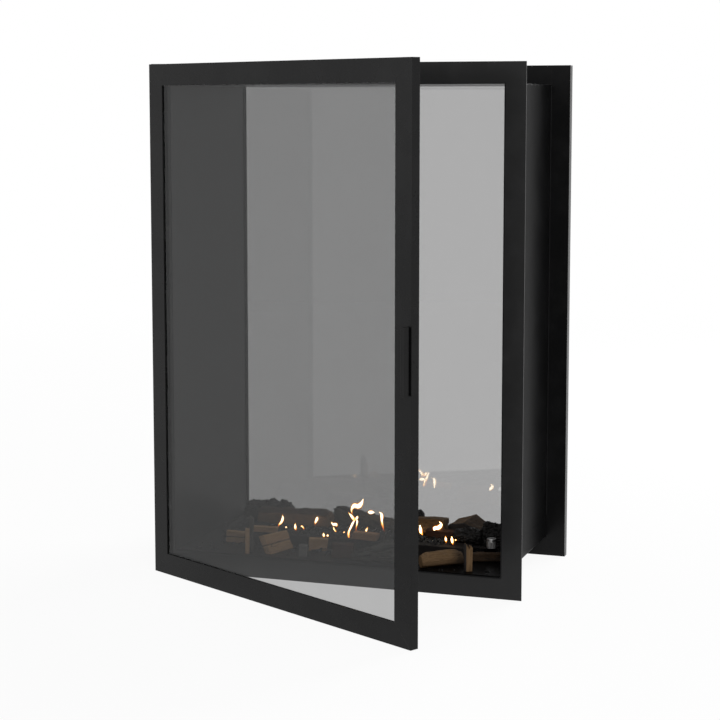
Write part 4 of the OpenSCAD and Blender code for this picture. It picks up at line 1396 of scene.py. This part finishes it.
@dataclass
class Flames:
    """Small ethanol flames: each tongue follows marks (x, z, radius) at a depth y, in millimetres."""

    tongues: tuple[tuple[float, tuple[Point, ...]], ...] = (
        (-27, ((-172, 26, 0.5), (-169, 32, 1.5), (-164, 38, 2.5), (-161, 46, 2.5), (-162, 55, 0.5))),
        (-27, ((-154, 25, 1), (-154, 28, 2), (-153, 30, 0.5))),
        (-38, ((-128, 25, 0.5), (-130, 32, 2.5), (-130, 42, 0.5))),
        (-36, ((-120, 33, 0.5), (-117, 35, 1.5), (-113, 31, 1), (-113, 26, 0.5))),
        (2, ((-104, 29, 0.5), (-102, 36, 2), (-99, 43, 3), (-98, 48, 1))),
        (-76, ((-56, 25, 0.5), (-56, 30, 2.5), (-57, 36, 0.5))),
        (-73, ((-49, 26, 0.5), (-49, 29, 2), (-49, 33, 0.5))),
        (-41, ((-54, 50, 1), (-49, 45, 2.5), (-43, 45, 3), (-42, 39, 1))),
        (-41, ((-49, 41, 1.5), (-47, 35, 1.5), (-44, 31, 1.5), (-41, 26, 0.5))),
        (-60, ((-8, 22, 1.5), (-10, 28, 2.5), (-10, 36, 2), (-6, 46, 2), (-1, 56, 2.5), (2, 61, 2.5))),
        (-40, ((-4, 54, 2), (-6, 58, 3.5), (-13, 66, 2), (-19, 72, 0.5))),
        (-40, ((-4, 55, 2.5), (0, 61, 2.5), (2, 66, 1))),
        (-44, ((-1, 32, 0.5), (0, 43, 1), (2, 54, 2), (1, 59, 2))),
        (14, ((-28, 53, 1.5), (-30, 64, 2.5), (-24, 73, 4.5), (-16, 72, 5), (-9, 79, 4.5), (-5, 89, 1))),
        (-73, ((-5, 10, 1), (-5, 14, 2.5), (-5, 18, 1))),
        (-30, ((-30, 25, 0.5), (-30, 28, 1.5), (-29, 30, 0.5))),
        (-16, ((11, 25, 0.5), (11, 31, 2), (15, 40, 0.5))),
        (18, ((2, 60, 1.5), (9, 61, 4), (17, 61, 1.5))),
        (10, ((28, 65, 1), (34, 61, 3), (35, 54, 3), (35, 47, 2), (37, 37, 1.5), (41, 24, 0.5))),
        (8, ((33, 49, 1), (36, 39, 1), (39, 30, 0.5))),
        (-20, ((38, 24, 0.5), (38, 26, 2), (39, 29, 0.5))),
        (3, ((116, 47, 1.5), (117, 38, 3), (119, 29, 2.5), (124, 25, 1))),
        (-2, ((152, 26, 0.5), (150, 33, 1.5), (147, 43, 3), (155, 45, 4), (161, 52, 3), (156, 58, 1))),
        (-45, ((184, 26, 0.5), (183, 33, 2), (182, 41, 0.5))),
        (-57, ((201, 26, 0.5), (199, 35, 2.5), (198, 44, 1))),
        (-50, ((204, 33, 0.5), (204, 35, 1.5), (204, 37, 0.5))),
    )
    rings: int = 26
    sides: int = 14
    core: float = 0.85
    skirt: float = 1.3
    full: float = 2.0
    foot: float = 0.3
    clear: float = 0.55
    thinnest: float = 0.3
    taper: float = 3.2
    bluntness: float = 0.6
    flatness: float = 0.7
    edge_dim: float = 0.5

    def tongue(self, share: float, y: float, line: tuple[Point, ...]) -> tuple[list, list, list]:
        """Closed tongue round a bent line.

        Args:
            share: how wide it is beside the widths in the line.
            y: its place in depth, in millimetres.
            line: the marks that the tongue follows.

        Returns:
            Its points, and the share of the length and the heat at each point.
        """
        depth = np.array((0.0, 1.0, 0.0))
        ways = np.linspace(0, 1, self.rings + 1)
        middle = smooth_line(np.array([(x, y, z, r) for x, z, r in line], float), ways)
        up = self.foot + (1 - self.foot) * np.clip(share_along(middle[:, 2]) / self.clear, 0, 1)
        points, rise, heat = [middle[0, :3] * MM], [0.0], [0.0]
        for i, t in enumerate(ways[1:-1], 1):
            end = min(1.0, self.taper * t, self.taper * (1 - t)) ** self.bluntness
            r = max(middle[i, 3], self.thinnest) * share * end
            ahead = middle[i + 1, :3] - middle[i - 1, :3]
            ahead /= np.linalg.norm(ahead) + 1e-9
            side = np.cross(ahead, depth)
            side /= np.linalg.norm(side) + 1e-9
            for k in range(self.sides):
                a = 2 * math.pi * k / self.sides
                out = math.cos(a) * side + self.flatness * math.sin(a) * depth
                points.append((middle[i, :3] + r * out) * MM)
                rise.append(t)
                facing = 1 - self.edge_dim * math.cos(a) ** 4
                heat.append(min(1.0, middle[i, 3] / self.full) * facing * up[i])
        return [*points, middle[-1, :3] * MM], [*rise, 1.0], [*heat, 0.0]

    def build(self) -> None:
        """Makes the cores and the skirts, one piece each."""
        shell = tube_faces(self.rings - 1, self.sides)
        for name, share, finish in (
            ("flame_cores", self.core, Finish.flame_core),
            ("flame_skirts", self.skirt, Finish.flame_skirt),
        ):
            points, faces, rise, heat = [], [], [], []
            for y, line in self.tongues:
                faces += [[i + len(points) for i in face] for face in shell]
                for whole, part in zip((points, rise, heat), self.tongue(share, y, line)):
                    whole.extend(part)
            mesh = mesh_of(name, points, faces)
            store(mesh, "rise", np.array(rise))
            store(mesh, "warmth", np.array(heat))
            mesh.shade_smooth()
            fit_piece(new_object(name, mesh), finish, "casing")


# Studio

@dataclass
class Studio:
    """Camera at the photograph's place, plain soft lamps, a white surround and a pale floor."""

    camera_at: Point = (1.163, -3.39543, 0.86223)
    turn: float = 0.33195
    down: float = 0.11345
    lens: float = 92.382
    sensor: float = 36.0
    shift: float = -0.06
    sight: float = 200.0
    ambient: float = 0.3
    floor_z: float = -38 * MM
    floor_reach: float = 60.0
    floor_grey: Rgb = (0.86, 0.86, 0.86)
    floor_white: float = 0.93
    fade: tuple[float, float] = (0.6, 5.0)
    lamps: tuple = (
        ("key", (1.9, -3.3, 3.1), (0.0, -0.1, 0.45), 2.4, 70.0),
        ("fill", (-2.8, -2.6, 1.8), (0.0, 0.0, 0.4), 2.6, 30.0),
        ("back", (1.4, 3.2, 2.6), (0.0, 0.0, 0.4), 2.4, 150.0),
    )

    def build(self) -> None:
        """Makes the camera, the world, the lamps and the floor."""
        scene = bpy.context.scene
        scene.view_settings.view_transform = "Standard"
        data = bpy.data.cameras.new("camera")
        data.lens, data.sensor_width, data.shift_y = self.lens, self.sensor, self.shift
        data.clip_end = self.sight
        scene.camera = new_object("camera", data)
        scene.camera.location = self.camera_at
        scene.camera.rotation_euler = Euler((math.pi / 2 - self.down, 0.0, self.turn))
        self.world(scene)
        for lamp in self.lamps:
            self.lamp(*lamp)
        self.floor()

    def world(self, scene: bpy.types.Scene) -> None:
        """White surround to the camera, to gloss and through glass, and a plain level for the rest."""
        scene.world = bpy.data.worlds.new("surround")
        scene.world.use_nodes = True
        g = NodeSet(scene.world.node_tree)
        level = self.seen(g) * (1.0 - self.ambient) + self.ambient
        shader = g.node("ShaderNodeBackground", {"Color": (1.0, 1.0, 1.0), "Strength": level})
        g.node("ShaderNodeOutputWorld", {"Surface": shader})

    @staticmethod
    def seen(g: NodeSet) -> Wire:
        """One for rays of the camera, of gloss and through glass."""
        path = g.node("ShaderNodeLightPath", output="Is Camera Ray")
        return path.highest(path.out("Is Glossy Ray")).highest(path.out("Is Transmission Ray"))

    @staticmethod
    def lamp(name: str, at: Point, to: Point, size: float, power: float) -> None:
        """A square soft lamp at a place, turned to a point."""
        data = bpy.data.lights.new(name, "AREA")
        data.shape, data.size, data.energy = "SQUARE", size, power
        lamp = new_object(name, data)
        lamp.location = at
        lamp.rotation_euler = (Vector(to) - Vector(at)).to_track_quat("-Z", "Y").to_euler()

    def floor(self) -> None:
        """Pale floor that is almost white to the camera and keeps a faint shadow."""
        sides = ((-1, -1), (1, -1), (1, 1), (-1, 1))
        corners = [(x * self.floor_reach, y * self.floor_reach, self.floor_z) for x, y in sides]
        floor = new_object("floor", mesh_of("floor", corners, [(0, 1, 2, 3)]))
        g = ShaderSet("floor")
        away = g.vector("LENGTH", g.place(), output=1).step(*self.fade)
        plain = g.node("ShaderNodeBsdfDiffuse", {"Color": self.floor_grey})
        white = g.node("ShaderNodeEmission", {"Color": (1.0, 1.0, 1.0), "Strength": 1.0})
        share = self.seen(g) * (away * (1 - self.floor_white) + self.floor_white)
        wear_finish(floor, g.close(g.mixed(share, plain, white)))


def main() -> None:
    """Builds the studio and dresses each sub-assembly in order."""
    logging.basicConfig(level=logging.INFO, format="%(message)s")
    Studio().build()
    screws = pan_head_tree()
    casing, rear, door, burner = Casing(), RearPane(), FrontDoor(), Burner()
    casing.dress()
    for pane in (rear, door):
        pane.dress()
        pane.build_screws(screws)
    casing.build_screws(screws)
    door.build_fittings(screws)
    burner.dress()
    burner.build(screws)
    LogSet().build()
    Crumbs().build()
    Flames().build()
    bpy.context.view_layer.update()


if __name__ == "__main__":
    main()
